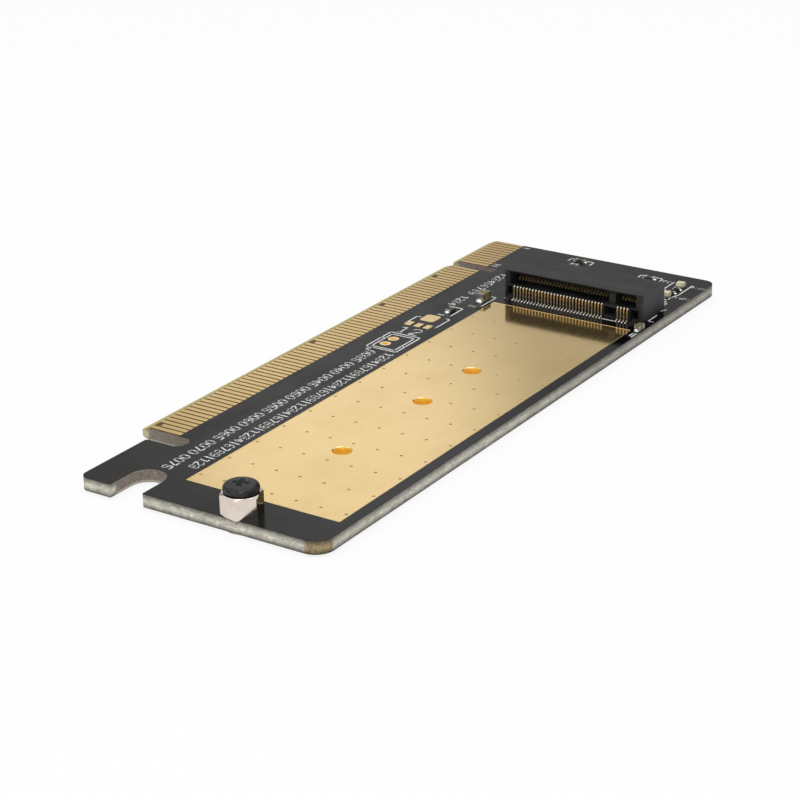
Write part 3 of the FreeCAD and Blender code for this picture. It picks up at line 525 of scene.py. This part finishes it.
def via_tree():
    """Points become small plated drillings: a raised rim round a flat middle disc, each with its own finish.
    """
    tree = Tree("plated_vias", (
        ("Radius", LENGTH), ("Rim", LENGTH), ("Rim finish", FINISH), ("Middle finish", FINISH)))
    points = tree.node("GeometryNodeMeshToPoints", {"Mesh": tree.given["Geometry"]}).outputs["Points"]
    circle = tree.node("GeometryNodeCurvePrimitiveCircle", {"Resolution": 12, "Radius": tree.given["Radius"]})
    section = tree.node("GeometryNodeCurvePrimitiveCircle", {"Resolution": 4, "Radius": tree.given["Rim"]})
    rim = tree.node("GeometryNodeCurveToMesh", {
        "Curve": circle.outputs["Curve"], "Profile Curve": section.outputs["Curve"]})
    middle = tree.node("GeometryNodeMeshCylinder", {
        "Vertices": 12, "Radius": tree.given["Radius"], "Depth": tree.given["Rim"]})
    return tree.end(
        (tree.on_points(points, rim.outputs["Mesh"]), tree.given["Rim finish"]),
        (tree.on_points(points, middle.outputs["Mesh"]), tree.given["Middle finish"]))


def fillet_tree():
    """Points become small flattened beads of solder."""
    tree = Tree("solder_beads", (
        ("Length", LENGTH), ("Width", LENGTH), ("Height", LENGTH), ("Finish", FINISH)))
    points = tree.node("GeometryNodeMeshToPoints", {"Mesh": tree.given["Geometry"]}).outputs["Points"]
    ball = tree.node("GeometryNodeMeshUVSphere", {"Segments": 8, "Rings": 6, "Radius": 0.5})
    smooth = tree.node("GeometryNodeSetShadeSmooth", {"Geometry": ball.outputs["Mesh"]})
    size = tree.vector(tree.given["Length"], tree.given["Width"], tree.given["Height"])
    beads = tree.on_points(points, smooth.outputs["Geometry"], size)
    return tree.end((beads, tree.given["Finish"]))


TREES = {"stroke": stroke_tree(), "via": via_tree(), "bead": fillet_tree()}


def grown_piece(name, tree, points, edges, settings):
    """Runs a tree on a bare mesh of points and lines, and keeps the plain mesh it makes."""
    seed = bpy.data.meshes.new(name)
    seed.from_pydata([Vector(p) * MM for p in points], edges, [])
    carrier = bpy.data.objects.new(name + "_carrier", seed)
    bpy.context.scene.collection.objects.link(carrier)
    modifier = carrier.modifiers.new("grow", "NODES")
    modifier.node_group = TREES[tree].group
    for socket in TREES[tree].group.interface.items_tree:
        if socket.in_out == "INPUT" and socket.name in settings:
            value = settings[socket.name]
            modifier[socket.identifier] = value * MM if isinstance(value, float) else value
    carrier.update_tag()
    graph = bpy.context.evaluated_depsgraph_get()
    grown = bpy.data.meshes.new_from_object(carrier.evaluated_get(graph))
    carrier.modifiers.clear()
    bpy.data.objects.remove(carrier)
    return new_piece(name, grown)


# Each figure is drawn in strokes on a grid four wide and six high, as column and row pairs.
FIGURES = {
    "0": ("10 30 41 45 36 16 05 01 10",),
    "1": ("05 26 20", "10 30"),
    "2": ("05 16 36 45 44 00 40",),
    "3": ("05 16 36 45 44 33 42 41 30 10 01", "13 33"),
    "4": ("30 36 02 42",),
    "5": ("46 06 03 33 42 41 30 10 01",),
    "6": ("36 16 05 01 10 30 41 42 33 03",),
    "7": ("06 46 10",),
    "8": ("13 04 05 16 36 45 44 33 13 02 01 10 30 41 42 33",),
    "9": ("10 30 41 45 36 16 05 04 13 43",),
}


class Strokes:
    """Printed lines and figures on one face, collected as separate segments."""

    def __init__(self, level):
        self.level = level
        self.points = []
        self.edges = []

    def line(self, *corners):
        """A run of straight strokes through the given X, Y corners."""
        for start, stop in zip(corners, corners[1:]):
            first = len(self.points)
            self.points += [(*start, self.level), (*stop, self.level)]
            self.edges.append((first, first + 1))

    def frame(self, low_x, low_y, high_x, high_y):
        self.line((low_x, low_y), (high_x, low_y), (high_x, high_y), (low_x, high_y), (low_x, low_y))

    def figures(self, text, x, y, height, turned=False, mirrored=False):
        """Plain figures from their lower left corner, turned a quarter if they read along Y."""
        step = height / 6
        side = -1 if mirrored else 1
        for place, figure in enumerate(text):
            for stroke in FIGURES.get(figure, ()):
                corners = []
                for pair in stroke.split():
                    right = (int(pair[0]) * 0.92 + place * 5.4) * step * side
                    up = int(pair[1]) * step
                    corners.append((x - up, y + right) if turned else (x + right, y + up))
                self.line(*corners)


def printed_marks():
    """The white print of the socket face: a length scale, outlines and plain figures."""
    ink = Strokes(LACQUER_TOP + 0.008)
    for length in range(35, 80, 5):
        ink.figures(f"{length:04d}", DRIVE_EDGE + length - 4.1, 9.9, 1.26)
    for tick in range(31, 74):
        x = DRIVE_EDGE + tick
        if tick % 5 == 0:
            ink.line((x, 13.95), (x, 12.5))
        else:
            ink.figures(str(tick % 10), x - 0.4, 12.6, 1.25)
    for place in range(9):
        ink.figures(str(place + 1), 0.75 + 1.1 * place, 9.65, 1.15)
    ink.figures("1234", 11.8, 9.65, 1.15)

    # the empty regulator, the empty header and the parts near them
    ink.line((24.9, 8.5), (24.7, 8.6))
    ink.line((24.5, 8.55), (21.9, 8.55), (21.9, 9.15))
    ink.line((24.6, 13.2), (20.8, 13.2), (20.8, 12.6))
    ink.frame(28.95, 8.75, 35.05, 13.5)
    ink.frame(29.55, 9.35, 34.55, 12.95)
    ink.line((31.2, 8.75), (31.2, 9.35))
    ink.line((32.8, 12.95), (32.8, 13.5))
    ink.figures("12", 28.4, 9.2, 2.1, turned=True)
    ink.figures("2", 35.95, 9.2, 1.0, turned=True)
    ink.line((19.6, 12.5), (16.2, 12.5), (16.2, 10.3))
    ink.figures("1", 19.5, 10.6, 1.0)
    ink.line((13.9, 14.15), (9.9, 14.15), (9.9, 13.3))
    ink.figures("3", 14.3, 12.5, 1.0)

    # beside the socket's jaw and under its key rib
    ink.line((9.35, 15.2), (9.35, 15.42))
    ink.line((9.6, 30.95), (9.6, 32.95))
    ink.line((9.2, 36.0), (9.5, 36.6))
    ink.line((12.5, 37.8), (13.9, 37.8))
    ink.line((12.5, 37.35), (13.6, 37.35))
    ink.line((4.6, 36.95), (7.2, 36.95), (7.2, 37.7))

    # behind the socket
    ink.line((-9.3, 15.1), (-9.4, 15.1), (-10.4, 15.1))
    ink.line((-10.5, 15.1), (-10.5, 18.9), (-9.1, 18.9))
    ink.figures("42", -8.0, 16.0, 0.9, turned=True)
    ink.line((-7.3, 27.4), (-9.3, 27.4), (-9.3, 30.9), (-7.3, 30.9))
    ink.figures("56", -8.0, 31.3, 0.8, turned=True)

    # round the lamps
    ink.line((-8.9, 32.9), (-5.3, 32.9), (-5.3, 33.4))
    ink.line((-8.8, 35.85), (-4.2, 35.85))
    ink.line((-4.2, 35.85), (-2.9, 35.4), (-1.8, 35.4), (-1.8, 33.6))
    ink.figures("7890", -8.0, 36.0, 0.58, turned=True)
    ink.figures("3456", -2.9, 36.0, 0.58, turned=True)
    ink.line((-0.7, 34.75), (-0.7, 35.75), (-1.3, 35.25), (-0.7, 34.75))
    ink.line((-0.1, 35.2), (-0.5, 36.0), (0.3, 36.0))
    ink.line((1.7, 36.4), (2.9, 36.6), (1.9, 37.1))
    ink.figures("12", -6.6, 30.9, 0.8, turned=True)

    # pin counts at the ends of the finger rows
    ink.figures("1", -11.3, 6.6, 0.9)
    ink.figures("11", -2.7, 6.6, 0.9)
    return grown_piece("printed_marks", "stroke", ink.points, ink.edges, {
        **INK_BAR, "Finish": FINISHES["ink"]})


def back_marks():
    """Plain figures on the underside, which read from that side: pin counts and drive lengths."""
    ink = Strokes(LACQUER_BOTTOM - 0.008)
    for number, x in ((1, -10.6), (11, -1.2), (12, 2.4), (50, 40.4), (82, 71.3)):
        ink.figures(str(number), x, 6.7, 1.1, mirrored=True)
    for length in DRIVE_LENGTHS:
        ink.figures(f"{length:.0f}", DRIVE_EDGE + length + 0.8, DRIVE_AXIS - 4.6, 1.5, mirrored=True)
    ink.frame(29.55, 8.4, 34.55, 12.5)
    return grown_piece("back_marks", "stroke", ink.points, ink.edges, {
        **INK_BAR, "Finish": FINISHES["ink"]})


def clear_of_holes(spot, room):
    """Whether a spot keeps its distance from every screw hole and header hole."""
    holes = [((DRIVE_EDGE + length, DRIVE_AXIS), HOLE_OUTER) for length in DRIVE_LENGTHS]
    holes += [(hole, HEADER_RING) for hole in HEADER_HOLES]
    return all((Vector(spot) - Vector(hole)).length > radius + room for hole, radius in holes)


def field_vias():
    """The small plated drillings of the gold field, in their even grid."""
    points = []
    for column in range(12):
        for row in range(7):
            spot = (18.31 + 5.582 * column, 15.3 + 3.458 * row)
            if clear_of_holes(spot, 0.3):
                points.append((*spot, GOLD_TOP + 0.002))
    # the middle discs take a darker finish: painted shade of the open holes
    return grown_piece("field_vias", "via", points, [], {
        "Radius": 0.2, "Rim": 0.02, "Rim finish": FINISHES["field"],
        "Middle finish": FINISHES["via_hole_shade"]})


def lane_tracks():
    """Every pair of tracks from the fingers to the socket: bends on its way, as runs of X, Y."""
    tracks = []
    for lane in range(LANES):
        start = 5.5 + 4.0 * lane
        for side in (-0.18, 0.18):
            low = LANE_START + LANE_STEP * lane + side
            turn = low - 8.4
            tracks.append(((start + side, 6.6), (start + side, 8.4), (start + side - turn * 0.35, low),
                           (3.4 + 0.3 * lane, low)))
    return tracks


def covered_tracks():
    """Copper tracks of the underside under the lacquer, which show as a faint relief."""
    lines = Strokes(LACQUER_BOTTOM - 0.004)
    for track in lane_tracks():
        for start, stop in zip(track, track[1:]):
            steps = max(1, int((Vector(stop) - Vector(start)).length / 0.8))
            run = []
            for n in range(steps + 1):
                spot = Vector(start).lerp(Vector(stop), n / steps)
                clear = clear_of_holes(spot, 0.4)
                if clear:
                    run.append(spot)
                if len(run) > 1 and (n == steps or not clear):
                    lines.line(tuple(run[0]), tuple(run[-1]))
                if not clear:
                    run = []
    return grown_piece("covered_tracks", "stroke", lines.points, lines.edges, {
        "Width": 0.16, "Height": 0.014, "Finish": FINISHES["lacquer"]})


def covered_vias():
    """Small drillings under the lacquer, on both faces."""
    points = [(84.53, 30.32), (83.1, 33.14), (84.5, 16.6), (62.3, 8.3), (48.9, 8.1), (38.7, 8.2)]
    points += [(-3.6, 12.4), (-5.2, 22.3), (-4.4, 26.0), (1.2, 12.6), (-10.6, 24.4), (-10.3, 33.0)]
    top = [(x, y, LACQUER_TOP) for x, y in points]
    bottom = [(x, y, LACQUER_BOTTOM) for x, y in points]
    bottom += [(4.4 + 0.3 * lane, LANE_START + LANE_STEP * lane, LACQUER_BOTTOM) for lane in range(LANES)]
    return grown_piece("covered_vias", "via", top + bottom, [], {
        "Radius": 0.24, "Rim": 0.016, "Rim finish": FINISHES["lacquer"],
        "Middle finish": FINISHES["lacquer"]})


def field_rim():
    """The line where the gold field's plated edge stands beside the lacquer: a thin raised bar of lighter
    gold, a painted highlight.
    """
    rim = Strokes(GOLD_TOP + 0.004)
    rim.frame(11.64, 14.74, 81.76, 36.56)
    return grown_piece("field_rim", "stroke", rim.points, rim.edges, {
        "Width": 0.07, "Height": 0.03, "Finish": FINISHES["rim"]})


def contact_rows():
    """Y of every lower and of every upper contact, split by the key rib."""
    start = DRIVE_AXIS - HALF_ROW * CONTACT_PITCH
    past_key = CONTACTS_TO_KEY + KEY_PLACES
    places = [[*range(CONTACTS_TO_KEY), *range(past_key, past_key + more)] for more in (4, 5)]
    lower = [start + CONTACT_PITCH * (n + 0.5) for n in places[0]]
    upper = [start + CONTACT_PITCH * n for n in places[1]]
    return lower, upper


def toe_solder():
    """The bead of solder at the toe of every contact, front and back."""
    lower, upper = contact_rows()
    front = [(9.6, y, LACQUER_TOP + 0.04) for y in lower]
    back = [(1.15, y, LACQUER_TOP + 0.04) for y in upper]
    return grown_piece("toe_solder", "bead", front + back, [], {
        "Length": 0.42, "Width": 0.3, "Height": 0.26, "Finish": FINISHES["solder"]})


def chip_solder():
    """The solder that climbs the metal ends of the capacitors, resistors and lamps."""
    sorts = (
        ("capacitor_solder", (0.8, 1.25, 1.0), ((10.6, 13.15), (12.95, 13.15))),
        ("side_solder", (0.55, 0.75, 0.75), ((9.95, 37.45), (11.75, 37.45))),
        ("resistor_solder", (0.7, 0.9, 0.62), ((17.05, 11.45), (18.8, 11.45))),
        ("back_solder", (0.7, 0.5, 0.4), ((-9.8, 16.1), (-9.8, 17.9), (-8.3, 28.3), (-8.3, 30.1))),
        ("tiny_solder", (0.5, 0.45, 0.42), (
            (-6.15, 34.2), (-6.15, 35.32), (-4.45, 34.2), (-4.45, 35.32),
            (-8.7, 34.5), (-6.8, 34.5), (-4.1, 34.5), (-2.2, 34.5))),
    )
    for name, (length, width, height), spots in sorts:
        points = [(x, y, LACQUER_TOP + height * 0.08) for x, y in spots]
        grown_piece(name, "bead", points, [], {
            "Length": length, "Width": width, "Height": height, "Finish": FINISHES["solder"]})


def lathe(profile, steps=64):
    """A closed turned solid from its radius and height pairs, bottom to top."""
    shape = bmesh.new()
    rings = []
    for radius, height in profile:
        if radius < 1e-9:
            rings.append([shape.verts.new((0, 0, height))])
            continue
        turn = [2 * math.pi * n / steps for n in range(steps)]
        rings.append([shape.verts.new((radius * math.cos(a), radius * math.sin(a), height)) for a in turn])
    for low, high in zip(rings, rings[1:]):
        for n in range(steps):
            following = (n + 1) % steps
            if len(low) == 1:
                shape.faces.new((low[0], high[following], high[n]))
            elif len(high) == 1:
                shape.faces.new((low[n], low[following], high[0]))
            else:
                shape.faces.new((low[n], low[following], high[following], high[n]))
    bmesh.ops.recalc_face_normals(shape, faces=shape.faces)
    return shape


def to_mesh(name, shape, finish, smooth=True):
    """A plain mesh in metres from a shape that was drawn in millimetres."""
    mesh = bpy.data.meshes.new(name)
    shape.to_mesh(mesh)
    shape.free()
    mesh.transform(Matrix.Scale(MM, 4))
    mesh.materials.append(FINISHES[finish])
    for face in mesh.polygons:
        face.use_smooth = smooth
    return mesh


def cut_mesh(name, body, tool, operation):
    """One closed mesh cut by another, or kept only where both are."""
    things = []
    for label, mesh in (("body", body), ("tool", tool)):
        thing = bpy.data.objects.new(f"{name}_{label}", mesh)
        bpy.context.scene.collection.objects.link(thing)
        things.append(thing)
    cut = things[0].modifiers.new("cut", "BOOLEAN")
    cut.operation = operation
    cut.solver = "EXACT"
    cut.use_self = True
    cut.material_mode = "TRANSFER"
    cut.object = things[1]
    graph = bpy.context.evaluated_depsgraph_get()
    mesh = bpy.data.meshes.new_from_object(things[0].evaluated_get(graph))
    for thing in things:
        bpy.data.objects.remove(thing)
    mesh.name = name
    return mesh


def at_standoff(mesh, height):
    """Moves a mesh from the origin to the standoff's place."""
    place = Vector((DRIVE_EDGE + DRIVE_LENGTHS[-1], DRIVE_AXIS, height)) * MM
    mesh.transform(Matrix.Translation(place) @ Matrix.Rotation(math.radians(STANDOFF_TURN), 4, "Z"))
    return mesh


def plated_holes():
    """The open screw holes and header holes: a gold ring level with the board round a plated wall."""
    rings = bmesh.new()
    holes = [(DRIVE_EDGE + length, DRIVE_AXIS, HOLE_INNER, HOLE_OUTER) for length in DRIVE_LENGTHS[:-1]]
    holes += [(x, y, HEADER_INNER, HEADER_OUTER) for x, y in HEADER_HOLES]
    for x, y, inner, outer in holes:
        break_edge = 0.1 * (outer - inner)
        ring = lathe([(outer, -GOLD_TOP), (outer, GOLD_TOP), (inner + break_edge, GOLD_TOP),
                      (inner, GOLD_TOP - break_edge), (inner, break_edge - GOLD_TOP),
                      (inner + break_edge, -GOLD_TOP), (outer, -GOLD_TOP)], 48)
        bmesh.ops.remove_doubles(ring, verts=ring.verts, dist=0.0001)
        bmesh.ops.recalc_face_normals(ring, faces=ring.faces)
        for face in ring.faces:
            face.material_index = 1 if face.calc_center_median().xy.length < inner + 0.001 else 0
        bmesh.ops.translate(ring, verts=ring.verts, vec=(x, y, 0.0))
        part = bpy.data.meshes.new("ring")
        ring.to_mesh(part)
        ring.free()
        rings.from_mesh(part)
        bpy.data.meshes.remove(part)
    mesh = to_mesh("plated_holes", rings, "field", False)
    mesh.materials.append(FINISHES["hole_wall"])
    for face in mesh.polygons:
        face.use_smooth = face.material_index == 1
    piece = new_piece("plated_holes", mesh)
    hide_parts("screw_hole_barrels")
    return piece


def standoff_post():
    """The hexagonal standoff with its slightly broken edges, turned top edge and flared foot."""
    corner = STANDOFF_HALF / math.cos(math.pi / 6)
    column = bmesh.new()
    rings = []
    for height in (0.0, STANDOFF_HEIGHT):
        angles = [math.pi * n / 3 for n in range(6)]
        rings.append([column.verts.new((corner * math.cos(a), corner * math.sin(a), height)) for a in angles])
    column.faces.new(rings[0][::-1])
    column.faces.new(rings[1])
    for n in range(6):
        column.faces.new((rings[0][n], rings[0][n - 5], rings[1][n - 5], rings[1][n]))
    upright = [edge for edge in column.edges if abs(edge.verts[0].co.z - edge.verts[1].co.z) > 1]
    bmesh.ops.bevel(column, geom=upright, offset=0.09, segments=3, affect="EDGES", profile=0.5)
    bmesh.ops.recalc_face_normals(column, faces=column.faces)
    turned = lathe([(0.0, -0.5), (4.0, -0.5), (4.0, 1.4), (STANDOFF_HALF, STANDOFF_HEIGHT),
                    (0.0, STANDOFF_HEIGHT)], 96)
    mesh = cut_mesh("standoff_post", to_mesh("column", column, "nickel", False),
                    to_mesh("turned", turned, "nickel", False), "INTERSECT")
    post = bmesh.new()
    post.from_mesh(mesh)
    foot = lathe([(0.0, -2.02), (1.2, -2.02), (1.95, -2.0), (2.1, -1.9), (2.1, -1.78), (1.98, -1.72),
                  (1.78, -1.72), (1.78, -0.01), (0.0, -0.01)])
    post.from_mesh(to_mesh("foot", foot, "nickel", False))
    post.to_mesh(mesh)
    post.free()
    piece = new_piece("standoff_post", at_standoff(mesh, LACQUER_TOP))
    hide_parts("standoff")
    return piece


def retaining_screw():
    """The pan head with its rounded rim, slightly domed top and pressed cross recess."""
    height, radius, shoulder = 1.1, 2.15, 0.52
    rim = []
    for degrees in range(0, 91, 10):
        turn = math.radians(degrees)
        rim.append((radius - shoulder + shoulder * math.cos(turn), height - 0.62 + 0.5 * math.sin(turn)))
    profile = [(0.0, -2.6), (0.62, -2.6), (0.8, -2.4), (0.8, 0.0), (radius - 0.3, 0.0),
               (radius - 0.08, 0.1), (radius, 0.26)] + rim
    profile += [(1.2, height - 0.06), (0.7, height - 0.015), (0.0, height)]
    head = to_mesh("head", lathe(profile), "screw")
    cutter = bmesh.new()
    for turn in (0, 90):
        for side in (-1, 1):
            corners = []
            for depth, reach, half in ((0.05, 1.06, 0.3), (-0.72, 0.45, 0.2)):
                for x, y in ((-0.02, -half), (reach, -half), (reach, half), (-0.02, half)):
                    spot = Vector((x * side, y * side, height + depth))
                    corners.append(cutter.verts.new(Matrix.Rotation(math.radians(turn), 3, "Z") @ spot))
            for face in ((0, 1, 2, 3), (7, 6, 5, 4), (0, 4, 5, 1), (1, 5, 6, 2), (2, 6, 7, 3), (3, 7, 4, 0)):
                cutter.faces.new([corners[n] for n in face])
    bmesh.ops.recalc_face_normals(cutter, faces=cutter.faces)
    # the recess faces take the cutter's near black finish, which is painted shade
    mesh = cut_mesh("screw_head", head, to_mesh("cross", cutter, "recess"), "DIFFERENCE")
    at_standoff(mesh, LACQUER_TOP + STANDOFF_HEIGHT)
    for face in mesh.polygons:
        face.use_smooth = True
    piece = new_piece("screw_head", mesh)
    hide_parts("retaining_screw")
    return piece


def pale_floor():
    """A plain floor, which keeps the card's shadow and is white to the camera and in reflections."""
    reach, level = 3.0, LOWEST * MM
    mesh = bpy.data.meshes.new("floor")
    mesh.from_pydata([(-reach, -reach, level), (reach, -reach, level),
                      (reach, reach, level), (-reach, reach, level)], [], [(0, 1, 2, 3)])
    floor = bpy.data.objects.new("floor", mesh)
    bpy.context.scene.collection.objects.link(floor)
    paper = bpy.data.materials.new("pale_floor")
    paper.use_nodes = True
    tree = paper.node_tree
    shade = tree.nodes["Principled BSDF"]
    shade.inputs["Base Color"].default_value = (0.86, 0.86, 0.86, 1)
    shade.inputs["Roughness"].default_value = 0.9
    shade.inputs["Specular IOR Level"].default_value = 0.1
    rays = added(tree, "ShaderNodeLightPath").outputs
    seen = added(tree, "ShaderNodeMath", {
        0: rays["Is Camera Ray"], 1: rays["Is Glossy Ray"]}, operation="MAXIMUM")
    through = added(tree, "ShaderNodeMath", {
        0: seen.outputs["Value"], 1: rays["Is Transmission Ray"]}, operation="MAXIMUM")
    share = added(tree, "ShaderNodeMath", {0: through.outputs["Value"], 1: 0.86}, operation="MULTIPLY")
    glow = added(tree, "ShaderNodeEmission", {"Color": (1, 1, 1, 1)})
    both = added(tree, "ShaderNodeMixShader", {
        "Fac": share.outputs["Value"], 1: shade.outputs["BSDF"], 2: glow.outputs["Emission"]})
    tree.links.new(both.outputs["Shader"], tree.nodes["Material Output"].inputs["Surface"])
    mesh.materials.append(paper)


def pale_room():
    """A pale room: brighter overhead, with a soft light and a dark card that the metal mirrors."""
    world = bpy.data.worlds.new("pale_room")
    bpy.context.scene.world = world
    world.use_nodes = True
    tree = world.node_tree
    back = tree.nodes["Background"]
    way = added(tree, "ShaderNodeTexCoord").outputs["Generated"]

    def passing(value, low, high, first, last):
        return added(tree, "ShaderNodeMapRange", {
            "Value": value, "From Min": low, "From Max": high, "To Min": first, "To Max": last},
            interpolation_type="SMOOTHSTEP").outputs["Result"]

    def toward(direction):
        return added(tree, "ShaderNodeVectorMath", {0: way, 1: direction},
                     operation="DOT_PRODUCT").outputs["Value"]

    height = added(tree, "ShaderNodeSeparateXYZ", {"Vector": way}).outputs["Z"]
    rise = passing(height, 0.45, 0.6, 0.46, 1.0)
    # a round soft light in the room, low behind the card, which the gold field mirrors
    pool = passing(toward((-0.74706, -0.53033, 0.40082)), 0.9945, 0.9996, 0.46, 0.97)
    # a dark card to one side of it, which the standoff's far facet shows by way of the field
    shade_card = passing(toward((-0.9135, 0.0, 0.4067)), 0.93, 0.97, 1.0, 0.06)
    lit = added(tree, "ShaderNodeMath", {0: rise, 1: pool}, operation="MAXIMUM")
    bright = added(tree, "ShaderNodeMath", {0: lit.outputs["Value"], 1: shade_card}, operation="MULTIPLY")
    rays = added(tree, "ShaderNodeLightPath").outputs
    clear = added(tree, "ShaderNodeMath", {
        0: rays["Is Camera Ray"], 1: rays["Is Transmission Ray"]}, operation="MAXIMUM")
    level = added(tree, "ShaderNodeMix", {
        "Factor": clear.outputs["Value"], "A": bright.outputs["Value"], "B": 1.0})
    tree.links.new(level.outputs["Result"], back.inputs["Strength"])
    back.inputs["Color"].default_value = (1, 1, 1, 1)


def soft_lamps():
    """Three large soft lamps, aimed at the card's middle: place in metres, watts, width in metres."""
    for name, spot, power, size in (("overhead_lamp", (0.08, 0.16, 0.62), 0.75, 0.5),
                                    ("side_lamp", (0.5, -0.25, 0.4), 0.45, 0.4),
                                    ("front_lamp", (0.46, 0.24, 0.17), 0.4, 0.35)):
        lamp = bpy.data.lights.new(name, "AREA")
        lamp.energy = power
        lamp.size = size
        holder = bpy.data.objects.new(name, lamp)
        bpy.context.scene.collection.objects.link(holder)
        holder.location = spot
        aim = Vector((0.038, 0.019, 0)) - Vector(spot)
        holder.rotation_euler = aim.to_track_quat("-Z", "Y").to_euler()


def photo_camera():
    """The camera where the photo was taken from: turned, tipped and very slightly rolled."""
    azimuth, elevation, roll = (math.radians(a) for a in (123.454, 22.717, -0.895))
    back = Vector((math.sin(azimuth) * math.cos(elevation),
                   -math.cos(azimuth) * math.cos(elevation), math.sin(elevation)))
    right = (-back).cross(Vector((0, 0, 1))).normalized()
    up = right.cross(-back)
    level_right, level_up = right.copy(), up.copy()
    right = level_right * math.cos(roll) + level_up * math.sin(roll)
    up = level_up * math.cos(roll) - level_right * math.sin(roll)
    lens = bpy.data.cameras.new("photo_camera")
    lens.sensor_width = 36.0
    lens.lens = 99.457
    lens.clip_start, lens.clip_end = 0.01, 20.0
    camera = bpy.data.objects.new("photo_camera", lens)
    bpy.context.scene.collection.objects.link(camera)
    camera.matrix_world = Matrix.Translation(Vector((264.424, 165.637, 109.178)) * MM) @ Matrix(
        (right, up, back)).transposed().to_4x4()
    bpy.context.scene.camera = camera


dress_solids()
printed_marks()
back_marks()
field_vias()
covered_tracks()
covered_vias()
field_rim()
toe_solder()
chip_solder()
plated_holes()
standoff_post()
retaining_screw()

bpy.context.scene.view_settings.view_transform = "Standard"
pale_floor()
pale_room()
soft_lamps()
photo_camera()
